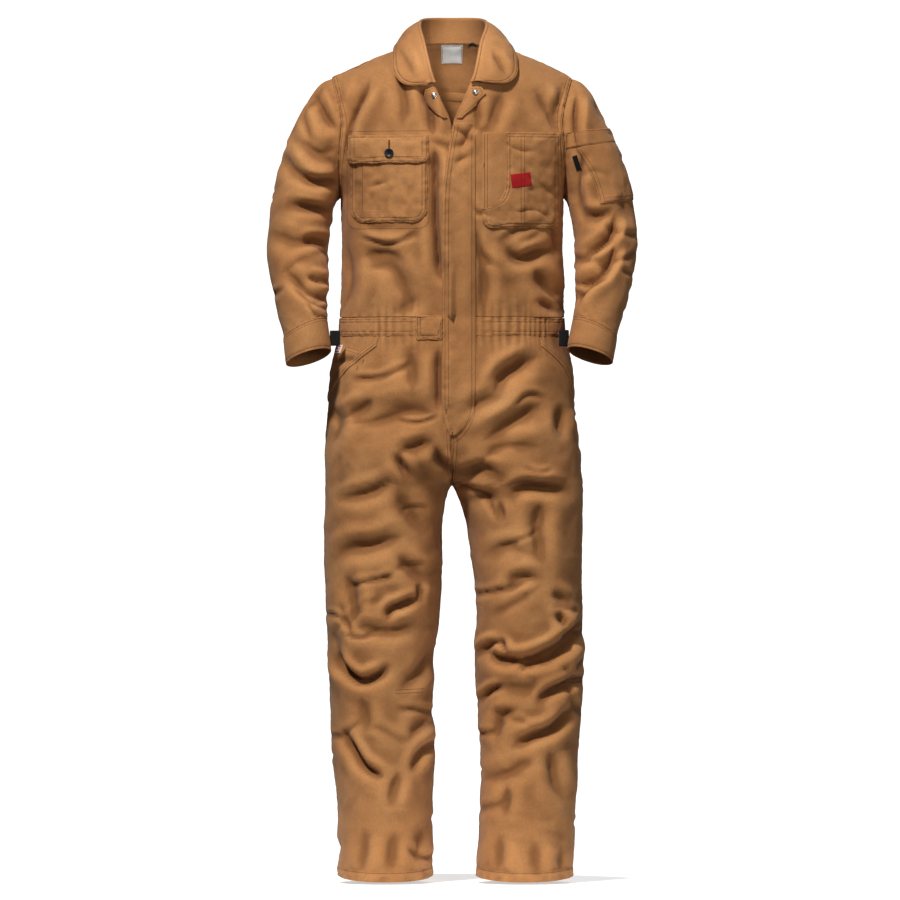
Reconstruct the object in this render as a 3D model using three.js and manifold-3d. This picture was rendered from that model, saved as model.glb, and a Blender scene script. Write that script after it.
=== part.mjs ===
// A boiler suit in heavy cotton duck, in its worn shape with nobody in it.
// Millimetres. +Z is up, -Y is the front, +X is the wearer's left side.
// The origin lies midway between the two neck points, where the shoulders carry the suit.
import * as THREE from 'three';
import { mergeVertices } from 'three/addons/utils/BufferGeometryUtils.js';
import Module from 'manifold-3d';

const wasm = await Module();
wasm.setup();

// Cloth
const WALL = 2.0;
const SEAM_GAP = 0.3;
const PATCH_WALL = 1.8;
const TRIM_WALL = 1.0;
const LABEL_WALL = 0.8;

// Main heights, as drops below the origin
const WAIST_TOP = 471;
const WAIST_BOTTOM = 504;
const CROTCH = 765;
const HEM = 1452;
const HEM_SAG = 9;

// Colours
const DUCK = 0xb07c4e;
const DUCK_SHADE = 0xa06c40;
const BLACK_TRIM = 0x17171a;
const BUTTON_NAVY = 0x1d2230;
const STUD_METAL = 0xc9c6bf;
const LABEL_WHITE = 0xeceae6;
const LABEL_RED = 0xb3282d;

// Front body: the inner edge runs up the centre front, the turned lapel and the neckline.
// round is 1 where the row turns fully to the side, and less where it runs on into the sleeve.
const FRONT_ROWS = [
  { level: 0, x: 0, y: -116, z: -471, round: 1.0 },
  { level: 1, x: 0, y: -121, z: -415, round: 1.0 },
  { level: 2, x: 0, y: -126, z: -350, round: 1.0 },
  { level: 3, x: 0, y: -129, z: -290, round: 1.0 },
  { level: 4, x: 0, y: -127, z: -240, round: 0.9 },
  { level: 5, x: 0, y: -122, z: -197, round: 0.55 },
  { level: 6, x: 0, y: -115, z: -160, round: 0.42 },
  { level: 7, x: 2, y: -108, z: -128, round: 0.36 },
  { level: 8, x: 18, y: -101, z: -92, round: 0.34 },
  { level: 9, x: 33, y: -92, z: -58, round: 0.34 },
  { level: 10, x: 47, y: -82, z: -38, round: 0.34 },
  { level: 11, x: 60, y: -62, z: -19, round: 0.34 },
  { level: 12, x: 71, y: -36, z: -3, round: 0.34 },
  { level: 13, x: 78, y: -6, z: 8, round: 0.34 },
];

// Back body: the centre back, from the waist to the yoke seam
const BACK_ROWS = [
  { level: 0, x: 0, y: 98, z: -471, round: 1.0 },
  { level: 1, x: 0, y: 101, z: -415, round: 1.0 },
  { level: 2, x: 0, y: 109, z: -350, round: 1.0 },
  { level: 3, x: 0, y: 117, z: -292, round: 1.0 },
  { level: 4, x: 0, y: 122, z: -240, round: 0.9 },
  { level: 5, x: 0, y: 123, z: -188, round: 0.6 },
  { level: 6, x: 0, y: 119, z: -135, round: 0.5 },
  { level: 7, x: 0, y: 110, z: -77, round: 0.48 },
];

// Edges that two or more pieces share, for the side +X
const SIDE_SEAM = [
  { level: 0, x: 197, y: 0, z: -471 },
  { level: 1, x: 195, y: 2, z: -415 },
  { level: 2, x: 194, y: 4, z: -350 },
  { level: 3, x: 194, y: 6, z: -302 },
  { level: 4, x: 196, y: 8, z: -262 },
];
const FRONT_ARMHOLE = [
  { level: 4, x: 196, y: 8, z: -262 },
  { level: 5, x: 198, y: -26, z: -228 },
  { level: 6, x: 198, y: -47, z: -190 },
  { level: 7, x: 196, y: -55, z: -156 },
  { level: 8, x: 194, y: -54, z: -130 },
  { level: 9, x: 196, y: -50, z: -109 },
  { level: 10, x: 200, y: -42, z: -91 },
  { level: 11, x: 204, y: -32, z: -75 },
  { level: 12, x: 208, y: -20, z: -61 },
  { level: 13, x: 211, y: -6, z: -50 },
];
const BACK_ARMHOLE = [
  { level: 4, x: 196, y: 8, z: -262 },
  { level: 5, x: 197, y: 40, z: -218 },
  { level: 6, x: 197, y: 55, z: -164 },
  { level: 7, x: 201, y: 48, z: -104 },
];
const FRONT_TOP_LEVEL = 13;
const ARMPIT_LEVEL = 4;
const YOKE_LEVEL = 7;
const YOKE_RISE = 13;
const YOKE_SWELL = 15;
const BACK_NECK = { y: 64, z: 15 };

// Collar, from the right front point round the back to the left one: the folded top, the free
// edge of the leaf, and the seam to the body
const COLLAR = {
  roll: [
    { along: 0, x: -31, y: -103, z: -60 },
    { along: 1, x: -37, y: -96, z: -42 },
    { along: 2, x: -43, y: -80, z: -18 },
    { along: 3, x: -50, y: -52, z: 13 },
    { along: 4, x: -57, y: -14, z: 43 },
    { along: 5, x: -48, y: 34, z: 55 },
    { along: 6, x: 0, y: 58, z: 57 },
    { along: 7, x: 50, y: 34, z: 55 },
    { along: 8, x: 61, y: -14, z: 43 },
    { along: 9, x: 52, y: -52, z: 13 },
    { along: 10, x: 46, y: -80, z: -18 },
    { along: 11, x: 41, y: -96, z: -42 },
    { along: 12, x: 35, y: -103, z: -58 },
  ],
  edge: [
    { along: 0, x: -44, y: -105, z: -66 },
    { along: 1, x: -80, y: -99, z: -64 },
    { along: 2, x: -98, y: -86, z: -50 },
    { along: 3, x: -104, y: -62, z: -27 },
    { along: 4, x: -102, y: -18, z: 6 },
    { along: 5, x: -86, y: 52, z: 9 },
    { along: 6, x: 0, y: 97, z: 4 },
    { along: 7, x: 90, y: 52, z: 9 },
    { along: 8, x: 108, y: -18, z: 4 },
    { along: 9, x: 115, y: -62, z: -25 },
    { along: 10, x: 112, y: -84, z: -48 },
    { along: 11, x: 93, y: -99, z: -61 },
    { along: 12, x: 54, y: -105, z: -60 },
  ],
  neck: [
    { along: 0, x: -35, y: -91, z: -55 },
    { along: 1, x: -47, y: -82, z: -38 },
    { along: 2, x: -60, y: -62, z: -19 },
    { along: 3, x: -71, y: -36, z: -3 },
    { along: 4, x: -78, y: -6, z: 8 },
    { along: 5, x: -58, y: 44, z: 13 },
    { along: 6, x: 0, y: 64, z: 15 },
    { along: 7, x: 58, y: 44, z: 13 },
    { along: 8, x: 78, y: -6, z: 8 },
    { along: 9, x: 71, y: -36, z: -3 },
    { along: 10, x: 60, y: -62, z: -19 },
    { along: 11, x: 47, y: -82, z: -38 },
    { along: 12, x: 35, y: -91, z: -55 },
  ],
};
const COLLAR_LAST = 12;
const LEAF_SWELL = 7;
const STAND_START = 0.3;
const STAND_FOOT = 0.06;
const STAND_HEAD = 0.95;

// Sleeve rings for each side: the outer point, the inner point, and the depth front to back.
// toward is how far the ring's middle stands in front of the shoulder, lean how far its
// front rises over its back.
const ARMHOLE_GAP = 0.5;
const SLEEVE_RINGS = [
  { ring: 0, outX: 211, outZ: -50, inX: 196, inZ: -262, toward: 0, deep: 54, lean: 0 },
  { ring: 1, outX: 230, outZ: -59, inX: 200, inZ: -265, toward: 0, deep: 58, lean: 0 },
  { ring: 2, outX: 249, outZ: -84, inX: 203, inZ: -268, toward: 0, deep: 62, lean: 0 },
  { ring: 3, outX: 269, outZ: -122, inX: 206, inZ: -273, toward: 0, deep: 64, lean: 0 },
  { ring: 4, outX: 288, outZ: -164, inX: 208, inZ: -280, toward: 0, deep: 64, lean: 0 },
  { ring: 5, outX: 303, outZ: -206, inX: 210, inZ: -290, toward: 0, deep: 63, lean: 1 },
  { ring: 6, outX: 314, outZ: -250, inX: 213, inZ: -306, toward: 1, deep: 62, lean: 3 },
  { ring: 7, outX: 322, outZ: -300, inX: 216, inZ: -328, toward: 4, deep: 60, lean: 5 },
  { ring: 8, outX: 325, outZ: -350, inX: 217, inZ: -356, toward: 12, deep: 59, lean: 8 },
  { ring: 9, outX: 321, outZ: -397, inX: 217, inZ: -388, toward: 24, deep: 57, lean: 10 },
  { ring: 10, outX: 312, outZ: -438, inX: 218, inZ: -420, toward: 40, deep: 54, lean: 11 },
  { ring: 11, outX: 302, outZ: -476, inX: 219, inZ: -448, toward: 56, deep: 50, lean: 11 },
  { ring: 12, outX: 295, outZ: -507, inX: 219, inZ: -473, toward: 68, deep: 46, lean: 11 },
  { ring: 13, outX: 292, outZ: -530, inX: 216, inZ: -502, toward: 75, deep: 45, lean: 11 },
  { ring: 14, outX: 289, outZ: -553, inX: 212, inZ: -530, toward: 80, deep: 44, lean: 11 },
];
const CUFF_RING = 12;
const LAST_RING = 14;
const BEHIND_FOLD_DROP = 30;
const ARMHOLE_BLEND = 4;
// The wearer's left forearm turns in a little more than the right one
const LEFT_CUFF_SHIFT = { fromRing: 8, x: -9, z: 3, toward: 7 };

// Legs: centre and half width of the right and the left leg, depth in front and behind, and how
// deep the crotch crease cuts in between them
const LEG_ROWS = [
  { drop: 504, midR: 0, halfR: 199, midL: 0, halfL: 199, front: 118, back: 100, crease: 0 },
  { drop: 563, midR: 20, halfR: 193, midL: 20, halfL: 191, front: 121, back: 117, crease: 0 },
  { drop: 640, midR: 52, halfR: 165, midL: 54, halfL: 160, front: 121, back: 128, crease: 0.12 },
  { drop: 700, midR: 78, halfR: 143, midL: 80, halfL: 143, front: 118, back: 126, crease: 0.45 },
  { drop: 740, midR: 98, halfR: 122.5, midL: 101, halfL: 125, front: 113, back: 120, crease: 0.85 },
  { drop: 765, midR: 110.2, halfR: 110, midL: 114.2, halfL: 114, front: 107, back: 112, crease: 1 },
  { drop: 776, midR: 114, halfR: 107, midL: 118, halfL: 111, front: 105, back: 110, crease: 1 },
  { drop: 816, midR: 120, halfR: 102.5, midL: 126, halfL: 103, front: 101, back: 104, crease: 1 },
  { drop: 900, midR: 121.5, halfR: 102.5, midL: 132, halfL: 95.5, front: 99, back: 101, crease: 1 },
  { drop: 984, midR: 121.5, halfR: 99, midL: 137, halfL: 92, front: 97, back: 99, crease: 1 },
  { drop: 1068, midR: 124.5, halfR: 93, midL: 135, halfL: 94.5, front: 97, back: 94, crease: 1 },
  { drop: 1152, midR: 124, halfR: 89.5, midL: 136.5, halfL: 91, front: 93, back: 92, crease: 1 },
  { drop: 1236, midR: 121.5, halfR: 88.5, midL: 137.5, halfL: 85, front: 90, back: 92, crease: 1 },
  { drop: 1320, midR: 118, halfR: 83, midL: 134, halfL: 83, front: 90, back: 90, crease: 1 },
  { drop: 1425, midR: 116.5, halfR: 81.5, midL: 128, halfL: 82.5, front: 92, back: 88, crease: 1 },
  { drop: 1470, midR: 116, halfR: 81.5, midL: 127, halfL: 82.5, front: 92, back: 88, crease: 1 },
];
const LEG_DROPS = [
  504.65, 536, 570, 606, 640, 670, 697, 720, 738, 752, 765, 778, 802, 836, 872, 908, 944, 978, 1010, 1040,
  1070, 1100, 1132, 1166, 1202, 1240, 1280, 1330, 1390, HEM,
];
const LEG_COLUMNS = 8;

// Largest folds, each a straight trough (depth below 0) or ridge (above 0) on one face,
// from (x0, z0) to (x1, z1) as seen from the front
const FOLDS = [
  { face: 'front', x0: -90, z0: -62, x1: -38, z1: -150, wide: 14, deep: -12 },
  { face: 'front', x0: -38, z0: -150, x1: -28, z1: -300, wide: 13, deep: -12 },
  { face: 'front', x0: -28, z0: -300, x1: -30, z1: -440, wide: 14, deep: -7 },
  { face: 'front', x0: -140, z0: -50, x1: -186, z1: -150, wide: 14, deep: -9 },
  { face: 'front', x0: -170, z0: -330, x1: -70, z1: -440, wide: 20, deep: -4 },
  { face: 'front', x0: 150, z0: -60, x1: 196, z1: -150, wide: 15, deep: -9 },
  { face: 'front', x0: 118, z0: -50, x1: 84, z1: -140, wide: 15, deep: -8 },
  { face: 'front', x0: 190, z0: -330, x1: 120, z1: -430, wide: 20, deep: -5 },
  { face: 'back', x0: -170, z0: -190, x1: -60, z1: -330, wide: 22, deep: -6 },
  { face: 'back', x0: 170, z0: -190, x1: 60, z1: -330, wide: 22, deep: -6 },
  { face: 'back', x0: -120, z0: -380, x1: 120, z1: -430, wide: 20, deep: -5 },
  { face: 'legFront', x0: -203, z0: -1050, x1: -159, z1: -1106, wide: 17, deep: -12 },
  { face: 'legFront', x0: -159, z0: -1106, x1: -108, z1: -1082, wide: 17, deep: -12 },
  { face: 'legFront', x0: -112, z0: -1010, x1: -50, z1: -958, wide: 17, deep: -7 },
  { face: 'legFront', x0: -194, z0: -1195, x1: -166, z1: -1246, wide: 17, deep: -11 },
  { face: 'legFront', x0: -166, z0: -1246, x1: -118, z1: -1274, wide: 17, deep: -11 },
  { face: 'legFront', x0: -33, z0: -1216, x1: -70, z1: -1256, wide: 17, deep: -6 },
  { face: 'legFront', x0: -205, z0: -900, x1: -90, z1: -855, wide: 20, deep: -6 },
  { face: 'legFront', x0: -60, z0: -690, x1: -150, z1: -640, wide: 22, deep: -6 },
  { face: 'legFront', x0: -40, z0: -720, x1: -100, z1: -790, wide: 20, deep: -7 },
  { face: 'legFront', x0: 44, z0: -1055, x1: 110, z1: -1060, wide: 17, deep: -7 },
  { face: 'legFront', x0: 110, z0: -1060, x1: 228, z1: -1006, wide: 17, deep: -12 },
  { face: 'legFront', x0: 122, z0: -1098, x1: 226, z1: -1040, wide: 16, deep: 5 },
  { face: 'legFront', x0: 112, z0: -1213, x1: 205, z1: -1164, wide: 17, deep: -11 },
  { face: 'legFront', x0: 156, z0: -1146, x1: 222, z1: -1106, wide: 16, deep: -6 },
  { face: 'legFront', x0: 49, z0: -690, x1: 170, z1: -622, wide: 20, deep: -11 },
  { face: 'legFront', x0: 90, z0: -784, x1: 222, z1: -760, wide: 20, deep: -6 },
  { face: 'legFront', x0: 40, z0: -735, x1: 120, z1: -700, wide: 18, deep: -6 },
  { face: 'legBack', x0: -210, z0: -800, x1: -60, z1: -840, wide: 22, deep: -6 },
  { face: 'legBack', x0: -200, z0: -1040, x1: -60, z1: -1080, wide: 19, deep: -9 },
  { face: 'legBack', x0: -190, z0: -1120, x1: -60, z1: -1100, wide: 18, deep: -7 },
  { face: 'legBack', x0: -180, z0: -1300, x1: -60, z1: -1260, wide: 20, deep: -5 },
  { face: 'legBack', x0: 210, z0: -800, x1: 60, z1: -845, wide: 22, deep: -6 },
  { face: 'legBack', x0: 210, z0: -1030, x1: 70, z1: -1075, wide: 19, deep: -9 },
  { face: 'legBack', x0: 200, z0: -1130, x1: 70, z1: -1105, wide: 18, deep: -7 },
  { face: 'legBack', x0: 190, z0: -1310, x1: 70, z1: -1270, wide: 20, deep: -5 },
  { face: 'sleeve', x0: -246, z0: -84, x1: -200, z1: -175, wide: 14, deep: -8 },
  { face: 'sleeve', x0: -276, z0: -216, x1: -222, z1: -290, wide: 15, deep: -11 },
  { face: 'sleeve', x0: -312, z0: -330, x1: -232, z1: -300, wide: 14, deep: -7 },
  { face: 'sleeve', x0: -300, z0: -420, x1: -230, z1: -370, wide: 16, deep: -7 },
  { face: 'sleeve', x0: 244, z0: -90, x1: 214, z1: -190, wide: 14, deep: -8 },
  { face: 'sleeve', x0: 300, z0: -330, x1: 224, z1: -285, wide: 15, deep: -11 },
  { face: 'sleeve', x0: 306, z0: -390, x1: 230, z1: -345, wide: 15, deep: -8 },
  { face: 'sleeve', x0: 296, z0: -450, x1: 222, z1: -405, wide: 15, deep: -6 },
];

// Elastic gathers along the waistband, as lengths out from the centre front or back
const GATHER_WAVE = 13;
const GATHER_HIGH = 1.7;
const GATHERS = {
  frontRight: { from: 53, to: 138 },
  frontLeft: { from: 36, to: 178 },
  back: { from: 0, to: 235 },
};

// Placket down the centre front, its foot curving in below the waist: its two edges by height
const PLACKET_LIFT = 0.8;
const PLACKET_TOP_LEVEL = 7;
const PLACKET_FOOT_DROPS = [669, 677, 680];
const PLACKET_ROWS = [
  { drop: 129, left: 3, right: 40 },
  { drop: 171, left: -5, right: 42 },
  { drop: 240, left: -14, right: 42 },
  { drop: 300, left: -16, right: 42 },
  { drop: 600, left: -16, right: 42 },
  { drop: 640, left: -15, right: 37 },
  { drop: 660, left: -11, right: 27 },
  { drop: 672, left: -7, right: 16 },
  { drop: 680, left: -3, right: 6 },
];

// Patches on the front, in front view: edges, corner rounding at the foot, and the lift of
// the patch's under face off the cloth below it
const POCKET_LIFT = SEAM_GAP;
const ON_POCKET_LIFT = SEAM_GAP + PATCH_WALL + SEAM_GAP;
const PATCHES = [
  {
    name: 'chest_pocket_right', left: -177, right: -44, top: -159, foot: -305, round: 24,
    lift: POCKET_LIFT, columns: 6, rows: 5, carriers: ['front_right'],
  },
  {
    name: 'chest_flap_right', left: -182, right: -42, top: -152, foot: -201, round: 12,
    lift: ON_POCKET_LIFT, columns: 6, rows: 2, carriers: ['chest_pocket_right', 'front_right'],
  },
  {
    name: 'waist_tab', left: -63, right: -16.5, top: -468, foot: -511, round: 4,
    lift: POCKET_LIFT, columns: 3, rows: 1,
    carriers: ['waistband_front_right', 'front_right', 'leg_front_right'],
  },
];
const LEFT_POCKET = { left: 52.5, right: 189, top: -147, foot: -315, round: 16 };
// The pen opening's edge runs down the left pocket and curves back to its inner side
const PEN_EDGE = [
  { drop: 147, x: 93 },
  { drop: 235, x: 93 },
  { drop: 255, x: 90 },
  { drop: 270, x: 80 },
  { drop: 284, x: 56 },
];
const PEN_FOOT = -284;

const LAPELS = [
  { side: -1, name: 'right', cornerX: 49, cornerZ: -88, topX: 45, topZ: -70 },
  { side: 1, name: 'left', cornerX: 59, cornerZ: -81, topX: 51, topZ: -66 },
];
const LAPEL_FROM = 7.12;
const LAPEL_TO = 8.75;
const LAPEL_CORNER_AT = 0.72;
const LAPEL_FOOT_WIDE = 9;
const STUDS = [
  { name: 'stud_right', x: -31, z: -83 },
  { name: 'stud_left', x: 41, z: -77 },
];
const STUD_RADIUS = 5;
const STUD_THICK = 1.6;
const BUTTON = { x: -110, z: -184, radius: 8, thick: 3 };

const HIP_POCKETS = [
  { side: -1, name: 'right', fromS: 0.45, toS: 0.96, fromDrop: 507, toDrop: 604, bow: 0 },
  { side: 1, name: 'left', fromS: 0.56, toS: 0.96, fromDrop: 507, toDrop: 600, bow: 0.03 },
];
const HIP_EDGE_WIDE = 15;

// Pocket on the left upper arm. turn is the share of the way round from the armpit seam.
const ARM_MIDDLE_X = 240;
const ARM_POCKET = { fromTurn: 0.24, toTurn: 0.63, top: -167, foot: -264, slope: 16 };
const ARM_BAND = { fromTurn: 0.19, toTurn: 0.64, top: -139, foot: -163, slope: 18 };

const CUFF_TAPES = [
  { side: -1, name: 'right', outer: 214.3, inner: 196, top: -494, foot: -521, y: -74 },
  { side: 1, name: 'left', outer: 205, inner: 187, top: -493, foot: -522, y: -81 },
];

const CHEST_LABEL = { x: 121, z: -231, wide: 35, high: 24, tilt: 8 };
const ARMHOLE_LABEL = { x: 219, z: -200, wide: 9, high: 27, tilt: 18 };
const HIP_LABEL = { fromS: 0.79, toS: 0.9, fromDrop: 519, toDrop: 534 };
const NECK_LABEL = { halfS: 0.066, fromT: 0.56, toT: 0.96 };
const HANGER_LOOP = { x: 36, y: 49.5, z: 14, halfWide: 8, drop: 7, thick: 1.2, tape: 4, bow: 3 };

// Small tools

function smoothstep(low, high, at) {
  const t = Math.min(1, Math.max(0, (at - low) / (high - low)));
  return t * t * (3 - 2 * t);
}

// Reads one column of a table at a key, on a smooth curve through the rows
function read(table, key, at, name) {
  let i = 0;
  while (i < table.length - 2 && at > table[i + 1][key]) i += 1;
  const step = table[i + 1][key] - table[i][key];
  const t = (at - table[i][key]) / step;
  const slope = (j) => {
    const before = table[Math.max(0, j - 1)];
    const after = table[Math.min(table.length - 1, j + 1)];
    return (after[name] - before[name]) / (after[key] - before[key]);
  };
  const t2 = t * t;
  const t3 = t2 * t;
  return (2 * t3 - 3 * t2 + 1) * table[i][name] + (t3 - 2 * t2 + t) * step * slope(i)
    + (3 * t2 - 2 * t3) * table[i + 1][name] + (t3 - t2) * step * slope(i + 1);
}

function readPoint(table, key, at) {
  return new THREE.Vector3(...['x', 'y', 'z'].map((name) => read(table, key, at, name)));
}

// The point at a fraction of the length of a row of points
function along(points, fraction) {
  const lengths = [0];
  for (let i = 1; i < points.length; i += 1) {
    lengths.push(lengths[i - 1] + points[i].distanceTo(points[i - 1]));
  }
  const want = fraction * lengths[lengths.length - 1];
  let i = 0;
  while (i < points.length - 2 && want > lengths[i + 1]) i += 1;
  const t = (want - lengths[i]) / (lengths[i + 1] - lengths[i]);
  return points[i].clone().lerp(points[i + 1], t);
}

// Height of all folds of a face at a place seen from the front
function foldHeight(face, x, z) {
  let sum = 0;
  for (const fold of FOLDS) {
    if (fold.face !== face) continue;
    const dx = fold.x1 - fold.x0;
    const dz = fold.z1 - fold.z0;
    const length = Math.hypot(dx, dz);
    const t = ((x - fold.x0) * dx + (z - fold.z0) * dz) / (length * length);
    const off = ((x - fold.x0) * dz - (z - fold.z0) * dx) / length;
    const ends = smoothstep(-0.15, 0.2, t) * (1 - smoothstep(0.8, 1.15, t));
    sum += fold.deep * ends * Math.exp(-((off / fold.wide) ** 2));
  }
  return sum;
}

// Skins: each maps (s, t) to a point of the cloth's outer face.
// s and t are in the ranges that the piece gives to wall() below.

const FRONT = -1;
const BACK = 1;

// A row of the body from its inner to its outer edge. s runs from 0 to 1.
function bodyRow(inner, outer, round, s) {
  const across = (1 - round) * s + round * Math.sin(s * Math.PI / 2);
  const depth = (1 - round) * (1 - s * s) + round * Math.cos(s * Math.PI / 2);
  return new THREE.Vector3(
    inner.x + (outer.x - inner.x) * across,
    outer.y + (inner.y - outer.y) * depth,
    inner.z + (outer.z - inner.z) * s,
  );
}

function frontEdge(level) {
  return readPoint(level <= ARMPIT_LEVEL ? SIDE_SEAM : FRONT_ARMHOLE, 'level', level);
}

function backEdge(level) {
  return readPoint(level <= ARMPIT_LEVEL ? SIDE_SEAM : BACK_ARMHOLE, 'level', level);
}

function frontSkin(side) {
  return (s, level) => {
    const round = read(FRONT_ROWS, 'level', level, 'round');
    const p = bodyRow(readPoint(FRONT_ROWS, 'level', level), frontEdge(level), round, s);
    p.x *= side;
    const acrossRow = smoothstep(0, 0.12, s) * smoothstep(0, 0.15, 1 - s);
    const alongFront = smoothstep(0, 1.5, level) * smoothstep(0, 1.5, FRONT_TOP_LEVEL - level);
    p.y -= foldHeight('front', p.x, p.z) * acrossRow * alongFront;
    return p;
  };
}

function backSkin(s, level) {
  const out = Math.abs(s);
  const round = read(BACK_ROWS, 'level', level, 'round');
  const p = bodyRow(readPoint(BACK_ROWS, 'level', level), backEdge(level), round, out);
  p.x *= Math.sign(s) || 1;
  const alongBack = smoothstep(0, 1.2, level) * smoothstep(0, 1.2, YOKE_LEVEL - level);
  p.y += foldHeight('back', p.x, p.z) * smoothstep(0, 0.15, 1 - out) * alongBack;
  return p;
}

// The yoke's front and neck edge: shoulder seam, neckline round the back, shoulder seam
const NECK_SHARE = 0.42;
function yokeTop(s) {
  const out = Math.abs(s);
  const side = Math.sign(s) || 1;
  const neckPoint = readPoint(FRONT_ROWS, 'level', FRONT_TOP_LEVEL);
  if (out <= NECK_SHARE) {
    const angle = out / NECK_SHARE * Math.PI / 2;
    return new THREE.Vector3(
      side * neckPoint.x * Math.sin(angle),
      neckPoint.y + (BACK_NECK.y - neckPoint.y) * Math.cos(angle),
      neckPoint.z + (BACK_NECK.z - neckPoint.z) * Math.cos(angle),
    );
  }
  const p = bodyRow(neckPoint, frontEdge(FRONT_TOP_LEVEL), 0.34, (out - NECK_SHARE) / (1 - NECK_SHARE));
  p.x *= side;
  return p;
}

// t runs from the back seam, 0, over the shoulder to the front and neck edge, 1
function yokeSkin(s, t) {
  const low = backSkin(s, YOKE_LEVEL);
  const high = yokeTop(s);
  const middle = low.clone().lerp(high, 0.5);
  const onShoulder = smoothstep(NECK_SHARE * 0.6, NECK_SHARE * 1.4, Math.abs(s));
  middle.z += YOKE_RISE + YOKE_SWELL * onShoulder;
  middle.y += YOKE_RISE * (1 - 0.3 * onShoulder);
  const a = low.multiplyScalar((1 - t) ** 2);
  const b = middle.multiplyScalar(2 * t * (1 - t));
  return a.add(b).add(high.multiplyScalar(t * t));
}

// The armhole as one loop from the armpit, up the front, over the shoulder and down the back
function armholeLoop() {
  const front = [];
  const back = [];
  const steps = 48;
  for (let i = 0; i <= steps; i += 1) {
    const f = i / steps;
    front.push(frontEdge(ARMPIT_LEVEL + f * (FRONT_TOP_LEVEL - ARMPIT_LEVEL)));
  }
  for (let i = 0; i <= steps; i += 1) back.push(yokeSkin(1, 1 - i / steps));
  for (let i = 1; i <= steps; i += 1) {
    back.push(backEdge(YOKE_LEVEL - i / steps * (YOKE_LEVEL - ARMPIT_LEVEL)));
  }
  return { front, back };
}
const ARMHOLE = armholeLoop();

// turn runs once round: 0 at the armpit, 0.25 in front, 0.5 on top, 0.75 behind
function armholePoint(turn) {
  return turn <= 0.5 ? along(ARMHOLE.front, turn * 2) : along(ARMHOLE.back, turn * 2 - 1);
}

function sleeveRing(side, turn, ring) {
  const row = (name) => read(SLEEVE_RINGS, 'ring', ring, name);
  const inward = side > 0 ? smoothstep(LEFT_CUFF_SHIFT.fromRing, LAST_RING, ring) : 0;
  const shiftX = LEFT_CUFF_SHIFT.x * inward;
  const shiftZ = LEFT_CUFF_SHIFT.z * inward;
  const toward = row('toward') + LEFT_CUFF_SHIFT.toward * inward;
  const angle = turn * 2 * Math.PI;
  const midX = (row('outX') + row('inX')) / 2 + shiftX;
  const midZ = (row('outZ') + row('inZ')) / 2 + shiftZ;
  return new THREE.Vector3(
    midX + (row('inX') - row('outX')) / 2 * Math.cos(angle),
    -toward - row('deep') * Math.sin(angle),
    midZ + (row('inZ') - row('outZ')) / 2 * Math.cos(angle) + row('lean') * Math.sin(angle),
  );
}

function sleeveSkin(side) {
  return (turn, ring) => {
    const oval = sleeveRing(side, turn, ring);
    const blend = smoothstep(0, ARMHOLE_BLEND, ring);
    let p = oval;
    if (blend < 1) {
      const shift = oval.clone().sub(sleeveRing(side, turn, 0));
      p = armholePoint(turn).add(shift).lerp(oval, blend);
    }
    p.x *= side;
    const inFront = Math.sin(turn * 2 * Math.PI);
    const ends = smoothstep(0, 1, ring) * smoothstep(0, 1, CUFF_RING - ring);
    const lower = inFront > 0 ? 0 : BEHIND_FOLD_DROP;
    p.y -= foldHeight('sleeve', p.x, p.z + lower) * inFront * ends * smoothstep(0, 0.5, Math.abs(inFront));
    return p;
  };
}

function legRow(side, drop) {
  const letter = side < 0 ? 'R' : 'L';
  return {
    mid: read(LEG_ROWS, 'drop', drop, `mid${letter}`),
    half: read(LEG_ROWS, 'drop', drop, `half${letter}`),
    front: read(LEG_ROWS, 'drop', drop, 'front'),
    back: read(LEG_ROWS, 'drop', drop, 'back'),
    crease: read(LEG_ROWS, 'drop', drop, 'crease'),
  };
}

// s runs from the centre seam or inseam, 0, to the side seam, 1
function legSkin(side, face) {
  return (s, drop) => {
    const row = legRow(side, drop);
    const start = -Math.asin(Math.min(1, (row.mid - SEAM_GAP / 2) / row.half));
    const angle = start + (Math.PI / 2 - start) * s;
    const depth = face === FRONT ? row.front : row.back;
    const crease = Math.min(1, Math.max(0, row.crease));
    const shape = angle < 0 ? 1 - crease * (1 - Math.cos(angle)) : Math.cos(angle);
    const x = side * (row.mid + row.half * Math.sin(angle));
    const sag = face === FRONT ? HEM_SAG * shape * smoothstep(CROTCH, HEM, drop) : 0;
    const z = -drop - sag;
    const name = face === FRONT ? 'legFront' : 'legBack';
    const edge = smoothstep(0, 0.14, s) * smoothstep(0, 0.14, 1 - s);
    const ends = smoothstep(WAIST_BOTTOM, WAIST_BOTTOM + 40, drop) * (1 - smoothstep(HEM - 60, HEM, drop));
    const height = foldHeight(name, x, z) * edge * ends;
    return new THREE.Vector3(x, face * (depth * shape + height), z);
  };
}

// The waistband joins the last row of the body to the first row of the legs.
// t runs from its lower edge, 0, to its upper edge, 1.
function waistSkin(side, face) {
  return (s, t) => {
    const upper = face === FRONT ? frontSkin(side)(s, 0) : backSkin(side * s, 0);
    const lower = legSkin(side, face)(s, WAIST_BOTTOM);
    if (s === 0) lower.x = upper.x;
    return lower.lerp(upper, t);
  };
}

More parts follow.
